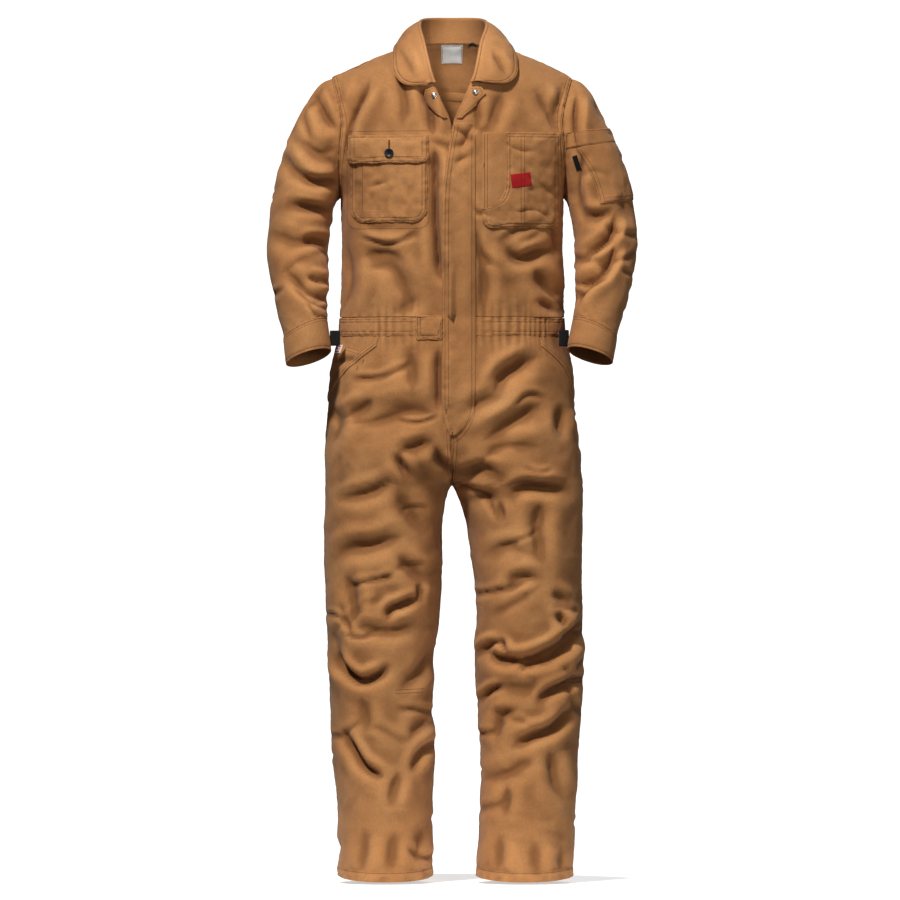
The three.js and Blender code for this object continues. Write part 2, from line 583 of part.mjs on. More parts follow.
// Finds the place (s, t) where a skin passes through (x, z), inside its limits
function findOn(skin, x, z, start, limits) {
  let [s, t] = start;
  const stepS = 1e-4;
  const stepT = (limits[3] - limits[2]) * 1e-4;
  for (let i = 0; i < 30; i += 1) {
    const p = skin(s, t);
    const ds = skin(s + stepS, t).sub(p).divideScalar(stepS);
    const dt = skin(s, t + stepT).sub(p).divideScalar(stepT);
    const det = ds.x * dt.z - dt.x * ds.z;
    const ex = x - p.x;
    const ez = z - p.z;
    if (Math.hypot(ex, ez) < 1e-4 || Math.abs(det) < 1e-9) break;
    s = Math.min(limits[1], Math.max(limits[0], s + (ex * dt.z - dt.x * ez) / det));
    t = Math.min(limits[3], Math.max(limits[2], t + (ds.x * ez - ex * ds.z) / det));
  }
  return skin(s, t);
}

// Walls: a closed solid between two lifts above a skin

const NORMAL_STEP = 2e-3;
const PATCH_NORMAL_STEP = 0.06;

// The outward direction at (a, b), from two short steps that stay inside the grid
function normalAt(point, a, b, as, bs, outward, share) {
  const clamp = (value, list) => THREE.MathUtils.clamp(value, list[0], list[list.length - 1]);
  const stepA = (as[as.length - 1] - as[0]) * share;
  const stepB = (bs[bs.length - 1] - bs[0]) * share;
  const da = point(clamp(a + stepA, as), b).sub(point(clamp(a - stepA, as), b));
  const db = point(a, clamp(b + stepB, bs)).sub(point(a, clamp(b - stepB, bs)));
  const n = da.cross(db).normalize();
  return n.dot(outward(point(a, b))) < 0 ? n.negate() : n;
}

// as, bs: the grid's values. low and high: lifts of its two faces. settle turns the wall's
// direction on an edge that another piece meets, so that both walls end on one plane.
function wall(point, as, bs, options) {
  const { low = -WALL, high = 0, outward, bump = null, settle = null, share = NORMAL_STEP } = options;
  const rows = [];
  bs.forEach((b, j) => as.forEach((a, i) => {
    const p = point(a, b);
    const n = normalAt(point, a, b, as, bs, outward, share);
    const ends = { first: i === 0, last: i === as.length - 1, lowest: j === 0, highest: j === bs.length - 1 };
    if (settle) settle(n, { ...ends, a, b });
    const extra = bump ? bump(a, b, p) : 0;
    rows.push({ top: p.clone().addScaledVector(n, high + extra), under: p.clone().addScaledVector(n, low) });
  }));
  const points = rows.flatMap((r) => r.top.toArray()).concat(rows.flatMap((r) => r.under.toArray()));
  return gridSolid(points, as.length, bs.length, false);
}

// Closes an outer and an inner grid of points into one solid. loop joins each row's ends.
function gridSolid(points, columns, rows, loop) {
  const base = columns * rows;
  const index = [];
  const at = (i, j, layer) => layer * base + j * columns + (i % columns);
  const quad = (a, b, c, d) => index.push(a, b, c, a, c, d);
  const across = loop ? columns : columns - 1;
  const last = rows - 1;
  for (let i = 0; i < across; i += 1) {
    for (let j = 0; j < last; j += 1) {
      quad(at(i, j, 0), at(i + 1, j, 0), at(i + 1, j + 1, 0), at(i, j + 1, 0));
      quad(at(i, j, 1), at(i, j + 1, 1), at(i + 1, j + 1, 1), at(i + 1, j, 1));
    }
    quad(at(i, 0, 0), at(i, 0, 1), at(i + 1, 0, 1), at(i + 1, 0, 0));
    quad(at(i, last, 0), at(i + 1, last, 0), at(i + 1, last, 1), at(i, last, 1));
  }
  if (!loop) {
    for (let j = 0; j < last; j += 1) {
      quad(at(0, j, 0), at(0, j + 1, 0), at(0, j + 1, 1), at(0, j, 1));
      quad(at(across, j, 0), at(across, j, 1), at(across, j + 1, 1), at(across, j + 1, 0));
    }
  }
  return facingOut(points, index);
}

// Turns the triangles round if the solid came out inside out
function facingOut(positions, index) {
  let volume = 0;
  const v = (i) => new THREE.Vector3(positions[3 * i], positions[3 * i + 1], positions[3 * i + 2]);
  for (let k = 0; k < index.length; k += 3) {
    volume += v(index[k]).dot(v(index[k + 1]).cross(v(index[k + 2])));
  }
  if (volume < 0) {
    for (let k = 0; k < index.length; k += 3) [index[k + 1], index[k + 2]] = [index[k + 2], index[k + 1]];
  }
  const geometry = new THREE.BufferGeometry();
  geometry.setAttribute('position', new THREE.Float32BufferAttribute(positions, 3));
  geometry.setIndex(index);
  geometry.computeVertexNormals();
  return geometry;
}

function steps(from, to, count) {
  return Array.from({ length: count + 1 }, (_, i) => from + (to - from) * i / count);
}

const suit = new THREE.Group();

function add(name, geometry, color, roughness = 0.92, metalness = 0) {
  const mesh = new THREE.Mesh(geometry, new THREE.MeshStandardMaterial({ color, roughness, metalness }));
  mesh.name = name;
  suit.add(mesh);
  return mesh;
}

const forward = () => new THREE.Vector3(0, -1, 0);
const SIDES = [{ side: -1, name: 'right' }, { side: 1, name: 'left' }];
const EDGE_S = 0.0008;

// Seating: a patch starts sunk into the cloth that carries it, and is then cut back to
// SEAM_GAP from that cloth's faces

const SUNK = 2.4;

function toSolid(geometry) {
  const plain = geometry.clone();
  plain.deleteAttribute('normal');
  plain.deleteAttribute('uv');
  const merged = mergeVertices(plain, 1e-4);
  return new wasm.Manifold(new wasm.Mesh({
    numProp: 3,
    vertProperties: new Float32Array(merged.attributes.position.array),
    triVerts: new Uint32Array(merged.index.array),
  }));
}

// The same solid with every face moved out by a gap. At an edge each of its faces' directions
// counts once, so that all of them move by the whole gap.
const SHARP_EDGE = Math.cos(THREE.MathUtils.degToRad(40));
function inflated(geometry, gap) {
  const plain = geometry.clone();
  plain.deleteAttribute('normal');
  plain.deleteAttribute('uv');
  const merged = mergeVertices(plain, 1e-4);
  const position = merged.attributes.position;
  const index = merged.index.array;
  const corner = (i) => new THREE.Vector3().fromBufferAttribute(position, i);
  const directions = Array.from({ length: position.count }, () => []);
  for (let k = 0; k < index.length; k += 3) {
    const [p, q, r] = [corner(index[k]), corner(index[k + 1]), corner(index[k + 2])];
    const area = q.clone().sub(p).cross(r.clone().sub(p));
    const unit = area.clone().normalize();
    for (let c = 0; c < 3; c += 1) {
      const list = directions[index[k + c]];
      const same = list.find((d) => d.unit.dot(unit) > SHARP_EDGE);
      if (same) {
        same.area.add(area);
        same.unit.copy(same.area).normalize();
      } else list.push({ area: area.clone(), unit: unit.clone() });
    }
  }
  directions.forEach((list, i) => {
    const p = corner(i);
    list.forEach((d) => p.addScaledVector(d.unit, gap));
    position.setXYZ(i, p.x, p.y, p.z);
  });
  return toSolid(merged);
}

const CUT_GAP = 0.35;
// Slivers finer than this that a cut leaves are closed up
const SLIVER = 0.05;

function seated(geometry, carriers) {
  let solid = toSolid(geometry);
  for (const name of carriers) {
    solid = solid.subtract(inflated(suit.getObjectByName(name).geometry, CUT_GAP));
  }
  const largest = solid.decompose().sort((p, q) => q.volume() - p.volume())[0].simplify(SLIVER);
  const mesh = largest.getMesh();
  const cut = new THREE.BufferGeometry();
  cut.setAttribute('position', new THREE.Float32BufferAttribute(mesh.vertProperties, 3));
  cut.setIndex([...mesh.triVerts]);
  cut.computeVertexNormals();
  return cut;
}

// The front of the whole suit, straight back from the front view at (x, z)
const FRONT_PANELS = ['front', 'waistband_front', 'leg_front']
  .flatMap((piece) => [`${piece}_right`, `${piece}_left`]);
const raycaster = new THREE.Raycaster();
const NEAR_STEPS = [0, 0.5, 1, 2, 4, 6];
function frontAt(x, z) {
  const panels = FRONT_PANELS.map((name) => suit.getObjectByName(name));
  for (const near of NEAR_STEPS) {
    for (const [dx, dz] of [[near, near], [-near, near], [near, -near], [-near, -near]]) {
      raycaster.set(new THREE.Vector3(x + dx, -500, z + dz), new THREE.Vector3(0, 1, 0));
      const hit = raycaster.intersectObjects(panels)[0];
      if (hit && hit.point.y < 0) return new THREE.Vector3(x, hit.point.y, z);
    }
  }
  throw new Error(`no cloth in front at ${x}, ${z}`);
}

// Body above the waist. Rows that share a seam are cut at the same places on both sides of it.
const SIDE_LEVELS = [0, 0.45, 0.9, 1.35, 1.8, 2.3, 2.8, 3.4, ARMPIT_LEVEL];
const FRONT_COLUMNS = steps(0, 1, 8);
const NECK_COLUMNS = steps(0, 1, 2);

function trimmed(values, trim = EDGE_S) {
  const list = [...values];
  list[0] += trim;
  list[list.length - 1] -= trim;
  return list;
}

const SHOULDER_DIRECTION = new THREE.Vector3(0, -0.3, 1).normalize();
const YOKE_DIRECTION = new THREE.Vector3(0, 1, 0.42).normalize();

// On an armhole's edge the wall never leans out past the edge into the sleeve
function keepInside(n, side) {
  n.x = side * Math.max(0, n.x * side);
  n.normalize();
}

const FRONT_LEVELS = SIDE_LEVELS.concat([4.6, 5.3, 6, 7, 8, 9, 10, 11, 12, FRONT_TOP_LEVEL - 0.012]);

function buildBody() {
  for (const { side, name } of SIDES) {
    add(`front_${name}`, wall(frontSkin(side), trimmed(FRONT_COLUMNS), FRONT_LEVELS, {
      outward: (p) => new THREE.Vector3(p.x * 0.5, -100, 60),
      settle: (n, on) => {
        if (on.last && on.b <= ARMPIT_LEVEL) n.set(side, 0, 0);
        else if (on.highest) n.copy(SHOULDER_DIRECTION);
        else if (on.last) keepInside(n, side);
      },
    }), DUCK);
  }
  const half = NECK_COLUMNS.map((c) => c * NECK_SHARE)
    .concat(FRONT_COLUMNS.slice(1).map((c) => NECK_SHARE + (1 - NECK_SHARE) * c));
  const backColumns = half.slice(1).reverse().map((c) => -c).concat(half);
  const backLevels = SIDE_LEVELS.concat([4.6, 5.3, 6.1, YOKE_LEVEL - 0.005]);
  add('back', wall(backSkin, trimmed(backColumns), backLevels, {
    outward: (p) => new THREE.Vector3(p.x, 80, 0),
    settle: (n, on) => {
      const side = Math.sign(on.a);
      if ((on.first || on.last) && on.b <= ARMPIT_LEVEL) n.set(side, 0, 0);
      else if (on.highest) n.copy(YOKE_DIRECTION);
      else if (on.first || on.last) keepInside(n, side);
    },
  }), DUCK);
  add('yoke', wall(yokeSkin, backColumns, [0.003, 0.25, 0.5, 0.75, 0.996], {
    outward: () => new THREE.Vector3(0, 60, 80),
    settle: (n, on) => {
      if (on.lowest) n.copy(YOKE_DIRECTION);
      else if (on.highest && Math.abs(on.a) > NECK_SHARE - EDGE_S) n.copy(SHOULDER_DIRECTION);
      else if (on.first || on.last) keepInside(n, Math.sign(on.a));
    },
  }), DUCK);
}

// Collar leaf and stand
function buildCollar() {
  const at = (u, kind) => readPoint(COLLAR[kind], 'along', u);
  const leaf = (u, v) => {
    const roll = at(u, 'roll');
    const edge = at(u, 'edge');
    const out = new THREE.Vector3(roll.x + edge.x, roll.y + edge.y, 90).normalize();
    return roll.lerp(edge, v).addScaledVector(out, LEAF_SWELL * Math.sin(Math.PI * v ** 0.7));
  };
  const lean = (p) => new THREE.Vector3(p.x, p.y * 0.8, 60);
  add('collar', wall(leaf, steps(0, COLLAR_LAST, 24), [0, 0.15, 0.4, 0.7, 1], {
    low: SEAM_GAP, high: SEAM_GAP + WALL, outward: lean,
  }), DUCK);
  const stand = (u, v) => at(u, 'neck').lerp(at(u, 'roll'), STAND_FOOT + (STAND_HEAD - STAND_FOOT) * v);
  const innerHalf = { low: -WALL, high: 0, outward: (p) => new THREE.Vector3(p.x, p.y, 0) };
  const standColumns = steps(STAND_START, COLLAR_LAST - STAND_START, 20);
  add('collar_stand', wall(stand, standColumns, [0, 0.5, 1], innerHalf), DUCK_SHADE);
}

// Sleeves and cuffs, with the pocket on the left sleeve
function buildSleeves() {
  const around = steps(0, 1, 14).slice(0, 14);
  for (const { side, name } of SIDES) {
    const skin = sleeveSkin(side);
    const tube = (turn, ring) => {
      const p = skin(((turn % 1) + 1) % 1, ring);
      p.x += side * ARMHOLE_GAP;
      return p;
    };
    add(`sleeve_${name}`, sleeveWall(tube, around, [
      0, 1, 2, 3, 4, 5, 5.9, 6.7, 7.5, 8.3, 9.1, 10, 11, CUFF_RING - 0.008,
    ]), DUCK);
    add(`cuff_${name}`, sleeveWall(tube, around, [CUFF_RING, 13, LAST_RING]), DUCK);
  }
}

// A ring wall whose thickness is measured inward from each ring's own outline
function sleeveWall(tube, around, rings) {
  const middle = (ring) => {
    const sum = new THREE.Vector3();
    around.forEach((turn) => sum.add(tube(turn, ring)));
    return sum.divideScalar(around.length);
  };
  const step = 1e-3;
  const positions = [];
  const under = [];
  for (const ring of rings) {
    const centre = middle(ring);
    for (const turn of around) {
      const p = tube(turn, ring);
      const da = tube(turn + step, ring).sub(tube(turn - step, ring));
      const db = tube(turn, ring + step).sub(tube(turn, Math.max(0, ring - step)));
      const n = da.cross(db).normalize();
      if (n.dot(p.clone().sub(centre)) < 0) n.negate();
      if (ring === 0) n.setX(0).normalize();
      positions.push(...p.toArray());
      under.push(...p.clone().addScaledVector(n, -WALL).toArray());
    }
  }
  return gridSolid(positions.concat(under), around.length, rings.length, true);
}

// Legs and waistband
function buildLegs() {
  for (const { side, name } of SIDES) {
    for (const [face, label] of [[FRONT, 'front'], [BACK, 'back']]) {
      const skin = legSkin(side, face);
      const outward = (p) => new THREE.Vector3(p.x - side * 115, face * 60, 0);
      const columns = trimmed(steps(0, 1, LEG_COLUMNS));
      add(`leg_${label}_${name}`, wall(skin, columns, LEG_DROPS, { outward }), DUCK);
    }
  }
}

// Columns of a gathered band: three to a wave inside the gathers, and a few outside them
function gatherColumns(length, { from, to }) {
  const waves = Math.round((to - from) / GATHER_WAVE);
  const inside = steps(from, to, waves * 3);
  const before = from > 0 ? [0, FRONT_COLUMNS[1] * length] : [];
  const after = to < length ? steps(to, length, 2).slice(1) : [];
  return before.concat(inside, after);
}

function buildWaistband() {
  const length = (skin) => {
    let sum = 0;
    for (let i = 0; i < 40; i += 1) sum += skin((i + 1) / 40, 0.5).distanceTo(skin(i / 40, 0.5));
    return sum;
  };
  const heights = [0.012, 0.988];
  const gather = ({ from, to }, total) => (s) => {
    const arc = Math.abs(s) * total;
    if (arc < from || arc > to) return 0;
    const uneven = 0.75 + 0.25 * Math.sin(arc * 0.11 + 1);
    return GATHER_HIGH * uneven * Math.sin((arc - from) / GATHER_WAVE * 2 * Math.PI);
  };
  const sideways = (n, on) => {
    if (on.last) n.set(Math.sign(on.a * on.side), 0, 0);
  };
  for (const { side, name } of SIDES) {
    const skin = waistSkin(side, FRONT);
    const total = length(skin);
    const range = side < 0 ? GATHERS.frontRight : GATHERS.frontLeft;
    const columns = trimmed(gatherColumns(total, range).map((arc) => arc / total), 2 * EDGE_S);
    add(`waistband_front_${name}`, wall(skin, columns, heights, {
      outward: forward,
      bump: gather(range, total),
      settle: (n, on) => sideways(n, { ...on, side }),
    }), DUCK);
  }
  const skin = (s, t) => waistSkin(Math.sign(s) || 1, BACK)(Math.abs(s), t);
  const total = length(waistSkin(1, BACK));
  const half = gatherColumns(total, { from: 0, to: GATHERS.back.to }).map((arc) => arc / total);
  const columns = trimmed(half.slice(1).reverse().map((c) => -c).concat(half), 2 * EDGE_S);
  add('waistband_back', wall(skin, columns, heights, {
    outward: () => new THREE.Vector3(0, 1, 0),
    bump: gather(GATHERS.back, total),
    settle: (n, on) => {
      if (on.first || on.last) n.set(Math.sign(on.a), 0, 0);
    },
  }), DUCK);
}

// How far a patch's foot corners draw in at a height above its foot
function cornerInset(round, above) {
  if (above >= round) return 0;
  return round - Math.sqrt(Math.max(0, round * round - (round - above) ** 2));
}

// Row heights from top to foot, closer together round the corners
function patchRows(top, foot, round, rows) {
  const straight = steps(top, foot + round, rows);
  const corner = [0.55, 0.2, 0.03].map((f) => foot + round * f);
  return straight.concat(corner);
}

function patch(name, size, color = DUCK) {
  const { left, right, top, foot, round, lift, columns, rows, carriers, thick = PATCH_WALL } = size;
  const leftAt = typeof left === 'function' ? left : () => left;
  const rightAt = typeof right === 'function' ? right : () => right;
  const skin = (a, z) => {
    const inset = cornerInset(round, z - foot);
    const x0 = leftAt(z) + inset;
    const x1 = rightAt(z) - inset;
    return frontAt(x0 + (x1 - x0) * a, z);
  };
  const heights = patchRows(top, foot, round, rows).reverse();
  const body = wall(skin, steps(0, 1, columns), heights, {
    low: lift - SUNK, high: lift + thick, outward: forward, share: PATCH_NORMAL_STEP,
  });
  add(name, seated(body, carriers), color);
}

function buildPatches() {
  PATCHES.forEach((p) => patch(p.name, p));
  const penAt = (z) => (z > PEN_FOOT ? read(PEN_EDGE, 'drop', -z, 'x') : LEFT_POCKET.left);
  const body = { ...LEFT_POCKET, lift: POCKET_LIFT, columns: 6, rows: 7, carriers: ['front_left'] };
  patch('chest_pocket_left', { ...body, left: penAt });
  patch('pen_pocket_left', {
    ...LEFT_POCKET,
    right: (z) => penAt(z) - SEAM_GAP * 1.5,
    foot: PEN_FOOT + 1,
    round: 0.5,
    lift: POCKET_LIFT,
    columns: 2,
    rows: 6,
    thick: TRIM_WALL,
    carriers: ['front_left', 'chest_pocket_left'],
  }, DUCK_SHADE);
}

// The front's column lines beside the centre, and the row lines under the placket
function facetAt(skin, columns, s, t) {
  const last = columns.length - 2;
  const i = Math.min(last, columns.findLastIndex((c) => c <= s));
  const f = (s - columns[i]) / (columns[i + 1] - columns[i]);
  return skin(columns[i], t).lerp(skin(columns[i + 1], t), f);
}

// The s at which a row's faceted line passes x
function facetColumn(skin, columns, x, t) {
  let low = 0;
  let high = 0.6;
  for (let i = 0; i < 30; i += 1) {
    const middle = (low + high) / 2;
    if (Math.abs(facetAt(skin, columns, middle, t).x) < Math.abs(x)) low = middle;
    else high = middle;
  }
  return (low + high) / 2;
}

function buildPlacket() {
  const legColumns = steps(0, 1, LEG_COLUMNS);
  const bodyLevels = FRONT_LEVELS.filter((level) => level <= PLACKET_TOP_LEVEL).reverse();
  const legDrops = LEG_DROPS.filter((drop) => drop < PLACKET_FOOT_DROPS[0] - 5).concat(PLACKET_FOOT_DROPS);
  const rows = [
    ...bodyLevels.map((level) => ({ skinOf: frontSkin, t: level, columns: FRONT_COLUMNS })),
    ...legDrops.map((drop) => ({ skinOf: (side) => legSkin(side, FRONT), t: drop, columns: legColumns })),
  ];
  const edgeLines = [0, 0.5, 1, 1.5, 2, 3];
  const skin = (a, row) => {
    const { skinOf, t, columns } = rows[Math.min(rows.length - 1, Math.round(row))];
    const drop = -skinOf(1)(0.05, t).z;
    const left = read(PLACKET_ROWS, 'drop', drop, 'left');
    const right = read(PLACKET_ROWS, 'drop', drop, 'right');
    const knee = Math.min(right * 0.92, Math.abs(skinOf(1)(columns[1], t).x));
    const x = [left, left / 2, 0, knee / 2, knee, right][edgeLines.indexOf(a)];
    const side = x < 0 || (x === 0 && left < 0) ? -1 : 1;
    return facetAt(skinOf(side), columns, facetColumn(skinOf(side), columns, x, t), t);
  };
  add('placket', stripWall(skin, edgeLines, rows.length), DUCK);
}

// A wall over rows of set points, its direction taken from the neighbouring points
function stripWall(skin, columns, rowCount) {
  const top = [];
  const under = [];
  for (let j = 0; j < rowCount; j += 1) {
    columns.forEach((a, i) => {
      const p = skin(a, j);
      const after = columns[Math.min(columns.length - 1, i + 1)];
      const before = columns[Math.max(0, i - 1)];
      const da = skin(after, j).sub(skin(before, j));
      const db = skin(a, Math.min(rowCount - 1, j + 1)).sub(skin(a, Math.max(0, j - 1)));
      const n = da.cross(db).normalize();
      if (n.y > 0) n.negate();
      top.push(...p.clone().addScaledVector(n, PLACKET_LIFT + PATCH_WALL).toArray());
      under.push(...p.clone().addScaledVector(n, PLACKET_LIFT).toArray());
    });
  }
  return gridSolid(top.concat(under), columns.length, rowCount, false);
}

// A round, slightly domed disc that stands on the cloth at (x, z)
function disc(name, { x, z, radius, thick, lift }, color, roughness, metalness = 0) {
  const probe = 2;
  const p = frontAt(x, z);
  const across = frontAt(x + probe, z).sub(frontAt(x - probe, z));
  const up = frontAt(x, z + probe).sub(frontAt(x, z - probe));
  const n = across.cross(up).normalize();
  if (n.y > 0) n.negate();
  const profile = [[0, 0], [1, 0], [0.94, 0.85], [0.6, 1], [0, 0.9]]
    .map(([r, h]) => new THREE.Vector2(r * radius, h * thick));
  const geometry = new THREE.LatheGeometry(profile, 12);
  const mesh = add(name, geometry, color, roughness, metalness);
  mesh.quaternion.setFromUnitVectors(new THREE.Vector3(0, 1, 0), n);
  mesh.position.copy(p.addScaledVector(n, lift));
}

function buildLapels() {
  for (const { side, name, cornerX, cornerZ, topX, topZ } of LAPELS) {
    const body = frontSkin(side);
    const low = body(0, LAPEL_FROM);
    const outer = (f) => {
      const corner = new THREE.Vector2(side * cornerX, cornerZ);
      const foot = new THREE.Vector2(low.x + side * LAPEL_FOOT_WIDE, low.z);
      if (f < LAPEL_CORNER_AT) return foot.lerp(corner, f / LAPEL_CORNER_AT);
      return corner.lerp(new THREE.Vector2(side * topX, topZ), (f - LAPEL_CORNER_AT) / (1 - LAPEL_CORNER_AT));
    };
    const skin = (a, f) => {
      const roll = body(0.02, LAPEL_FROM + (LAPEL_TO - LAPEL_FROM) * f);
      const out = outer(f);
      return frontAt(roll.x + (out.x - roll.x) * a, roll.z + (out.y - roll.z) * a);
    };
    const rows = [0, 0.24, 0.48, LAPEL_CORNER_AT, 0.88, 1];
    const leaf = wall(skin, [0, 0.33, 0.67, 1], rows, {
      low: POCKET_LIFT - SUNK, high: POCKET_LIFT + PATCH_WALL, outward: forward, share: PATCH_NORMAL_STEP,
    });
    add(`lapel_${name}`, seated(leaf, [`front_${name}`, 'placket', 'collar', 'collar_stand']), DUCK);
  }
}

function buildHipPockets() {
  for (const { side, name, fromS, toS, fromDrop, toDrop, bow } of HIP_POCKETS) {
    const leg = legSkin(side, FRONT);
    const skin = (f, w) => {
      const s = fromS + (toS - fromS) * f + bow * Math.sin(Math.PI * f);
      return leg(s, fromDrop + (toDrop - fromDrop) * f + w);
    };
    const edge = wall(skin, steps(0, 1, 8), [0, HIP_EDGE_WIDE / 2, HIP_EDGE_WIDE], {
      low: POCKET_LIFT - SUNK,
      high: POCKET_LIFT + PATCH_WALL,
      outward: (p) => new THREE.Vector3(p.x, -100, 0),
    });
    add(`hip_pocket_edge_${name}`, seated(edge, [`leg_front_${name}`, `waistband_front_${name}`]), DUCK);
  }
}

// The sleeve's point at a share of the way round and a height
function armAt(side, turn, z) {
  const skin = sleeveSkin(side);
  let low = 0.2;
  let high = CUFF_RING;
  for (let i = 0; i < 40; i += 1) {
    const middle = (low + high) / 2;
    if (skin(turn, middle).z > z) low = middle;
    else high = middle;
  }
  const p = skin(turn, (low + high) / 2);
  p.x += side * ARMHOLE_GAP;
  return p;
}

function buildArmPocket() {
  const side = 1;
  const carriers = ['sleeve_left'];
  for (const [name, size, rows] of [['arm_pocket_left', ARM_POCKET, 5], ['arm_pocket_band_left', ARM_BAND, 2]]) {
    const skin = (turn, z) => {
      const towardFront = (1 + Math.cos(turn * 2 * Math.PI)) / 2;
      return armAt(side, turn, z - size.slope * towardFront);
    };
    const body = wall(skin, steps(size.fromTurn, size.toTurn, 8), steps(size.foot, size.top, rows), {
      low: POCKET_LIFT - SUNK,
      high: POCKET_LIFT + PATCH_WALL,
      outward: (p) => new THREE.Vector3(p.x - ARM_MIDDLE_X, p.y, 0),
    });
    add(name, seated(body, carriers), DUCK);
    carriers.push(name);
  }
}

function buildTapes() {
  for (const { side, name, outer, inner, top, foot, y } of CUFF_TAPES) {
    const skin = (x, z) => new THREE.Vector3(side * x, y, z);
    add(`cuff_tape_${name}`, wall(skin, [inner, outer], [foot, top], {
      low: -TRIM_WALL, high: TRIM_WALL, outward: forward,
    }), BLACK_TRIM);
  }
}

function tiltedLabel(name, find, { x, z, wide, high, tilt }, lift, carriers, color) {
  const cos = Math.cos(THREE.MathUtils.degToRad(tilt));
  const sin = Math.sin(THREE.MathUtils.degToRad(tilt));
  const skin = (a, b) => find(x + a * cos - b * sin, z + a * sin + b * cos);
  const label = wall(skin, steps(-wide / 2, wide / 2, 2), steps(-high / 2, high / 2, 2), {
    low: lift - SUNK, high: lift + LABEL_WALL, outward: forward, share: PATCH_NORMAL_STEP,
  });
  add(name, seated(label, carriers), color);
}

function buildLabels() {
  tiltedLabel('chest_label', frontAt, CHEST_LABEL, ON_POCKET_LIFT, ['chest_pocket_left'], LABEL_RED);
  const sleeveFront = (x, z) => {
    const p = findOn(sleeveSkin(1), x - ARMHOLE_GAP, z, [0.2, 2], [0.05, 0.45, 0.3, CUFF_RING]);
    p.x += ARMHOLE_GAP;
    return p;
  };
  const beside = ['sleeve_left', 'front_left', 'arm_pocket_left', 'arm_pocket_band_left'];
  tiltedLabel('armhole_label', sleeveFront, ARMHOLE_LABEL, POCKET_LIFT, beside, BLACK_TRIM);
  const { fromS, toS, fromDrop, toDrop } = HIP_LABEL;
  const hipLabel = wall(legSkin(-1, FRONT), steps(fromS, toS, 2), [fromDrop, toDrop], {
    low: POCKET_LIFT - SUNK, high: POCKET_LIFT + LABEL_WALL, outward: (p) => new THREE.Vector3(p.x, -100, 0),
  });
  add('hip_label', seated(hipLabel, ['leg_front_right', 'hip_pocket_edge_right']), LABEL_WHITE);
  const inside = -WALL - SEAM_GAP;
  const { halfS, fromT, toT } = NECK_LABEL;
  const label = wall(yokeSkin, steps(-halfS, halfS, 2), steps(fromT, toT, 2), {
    low: inside - LABEL_WALL, high: inside + WALL / 2, outward: () => new THREE.Vector3(0, 60, 80),
  });
  add('neck_label', seated(label, ['yoke', 'collar_stand']), LABEL_WHITE);
  addHangerLoop();
}

// A short tape loop sewn inside the back neck
function addHangerLoop() {
  const { x, y, z, halfWide, drop, thick, tape, bow } = HANGER_LOOP;
  const path = new THREE.CatmullRomCurve3([-1, -0.8, 0, 0.8, 1].map((f) => {
    const fall = Math.abs(f) === 1 ? drop : drop * f * f / 2;
    return new THREE.Vector3(x + halfWide * f, y - bow * f, z - fall);
  }));
  const section = new THREE.Shape([
    new THREE.Vector2(-thick / 2, -tape / 2), new THREE.Vector2(thick / 2, -tape / 2),
    new THREE.Vector2(thick / 2, tape / 2), new THREE.Vector2(-thick / 2, tape / 2),
  ]);
  const loop = new THREE.ExtrudeGeometry(section, { steps: 8, extrudePath: path, bevelEnabled: false });
  add('hanger_loop', seated(loop, ['yoke', 'collar_stand']), BLACK_TRIM);
}

buildBody();
buildCollar();
buildSleeves();
buildLegs();
buildWaistband();
buildPlacket();
buildPatches();
buildLapels();
buildHipPockets();
buildArmPocket();
buildTapes();
buildLabels();
disc('flap_button', { ...BUTTON, lift: ON_POCKET_LIFT + PATCH_WALL + SEAM_GAP }, BUTTON_NAVY, 0.4);
for (const stud of STUDS) {
  const size = { ...stud, radius: STUD_RADIUS, thick: STUD_THICK, lift: ON_POCKET_LIFT };
  disc(stud.name, size, STUD_METAL, 0.3, 1);
}

export default suit;
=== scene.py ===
# A boiler suit in brown cotton duck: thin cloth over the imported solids, with folds, seams,
# stitching and trims. Lengths are in millimetres until a mesh is made, which is in metres.
import math

import bpy
import numpy as np
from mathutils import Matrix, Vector
from mathutils.bvhtree import BVHTree


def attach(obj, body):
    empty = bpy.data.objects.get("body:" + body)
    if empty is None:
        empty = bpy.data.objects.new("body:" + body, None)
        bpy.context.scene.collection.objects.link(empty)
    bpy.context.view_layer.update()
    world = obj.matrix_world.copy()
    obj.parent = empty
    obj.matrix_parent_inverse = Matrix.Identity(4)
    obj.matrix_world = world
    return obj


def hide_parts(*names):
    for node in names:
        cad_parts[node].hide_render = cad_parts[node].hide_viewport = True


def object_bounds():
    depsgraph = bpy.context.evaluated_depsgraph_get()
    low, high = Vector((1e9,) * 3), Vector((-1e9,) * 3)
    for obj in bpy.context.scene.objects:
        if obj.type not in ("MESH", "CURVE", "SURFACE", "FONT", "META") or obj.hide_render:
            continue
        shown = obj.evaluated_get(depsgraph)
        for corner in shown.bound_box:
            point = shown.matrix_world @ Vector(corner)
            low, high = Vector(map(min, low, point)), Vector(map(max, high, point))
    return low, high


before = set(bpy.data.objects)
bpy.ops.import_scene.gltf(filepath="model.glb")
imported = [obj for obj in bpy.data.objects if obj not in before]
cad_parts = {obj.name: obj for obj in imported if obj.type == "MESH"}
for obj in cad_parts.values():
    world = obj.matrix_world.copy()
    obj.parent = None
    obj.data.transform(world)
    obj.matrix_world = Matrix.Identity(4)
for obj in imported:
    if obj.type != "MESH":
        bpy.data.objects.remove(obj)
CAD_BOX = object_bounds()
MM = 0.001

# Cloth
SEAM_GAP = 0.3
ARMHOLE_GAP = 0.5
CLOTH = 1.3
FRONT, BACK = -1, 1
RIGHT, LEFT = -1, 1
SIDE_NAME = {RIGHT: "right", LEFT: "left"}


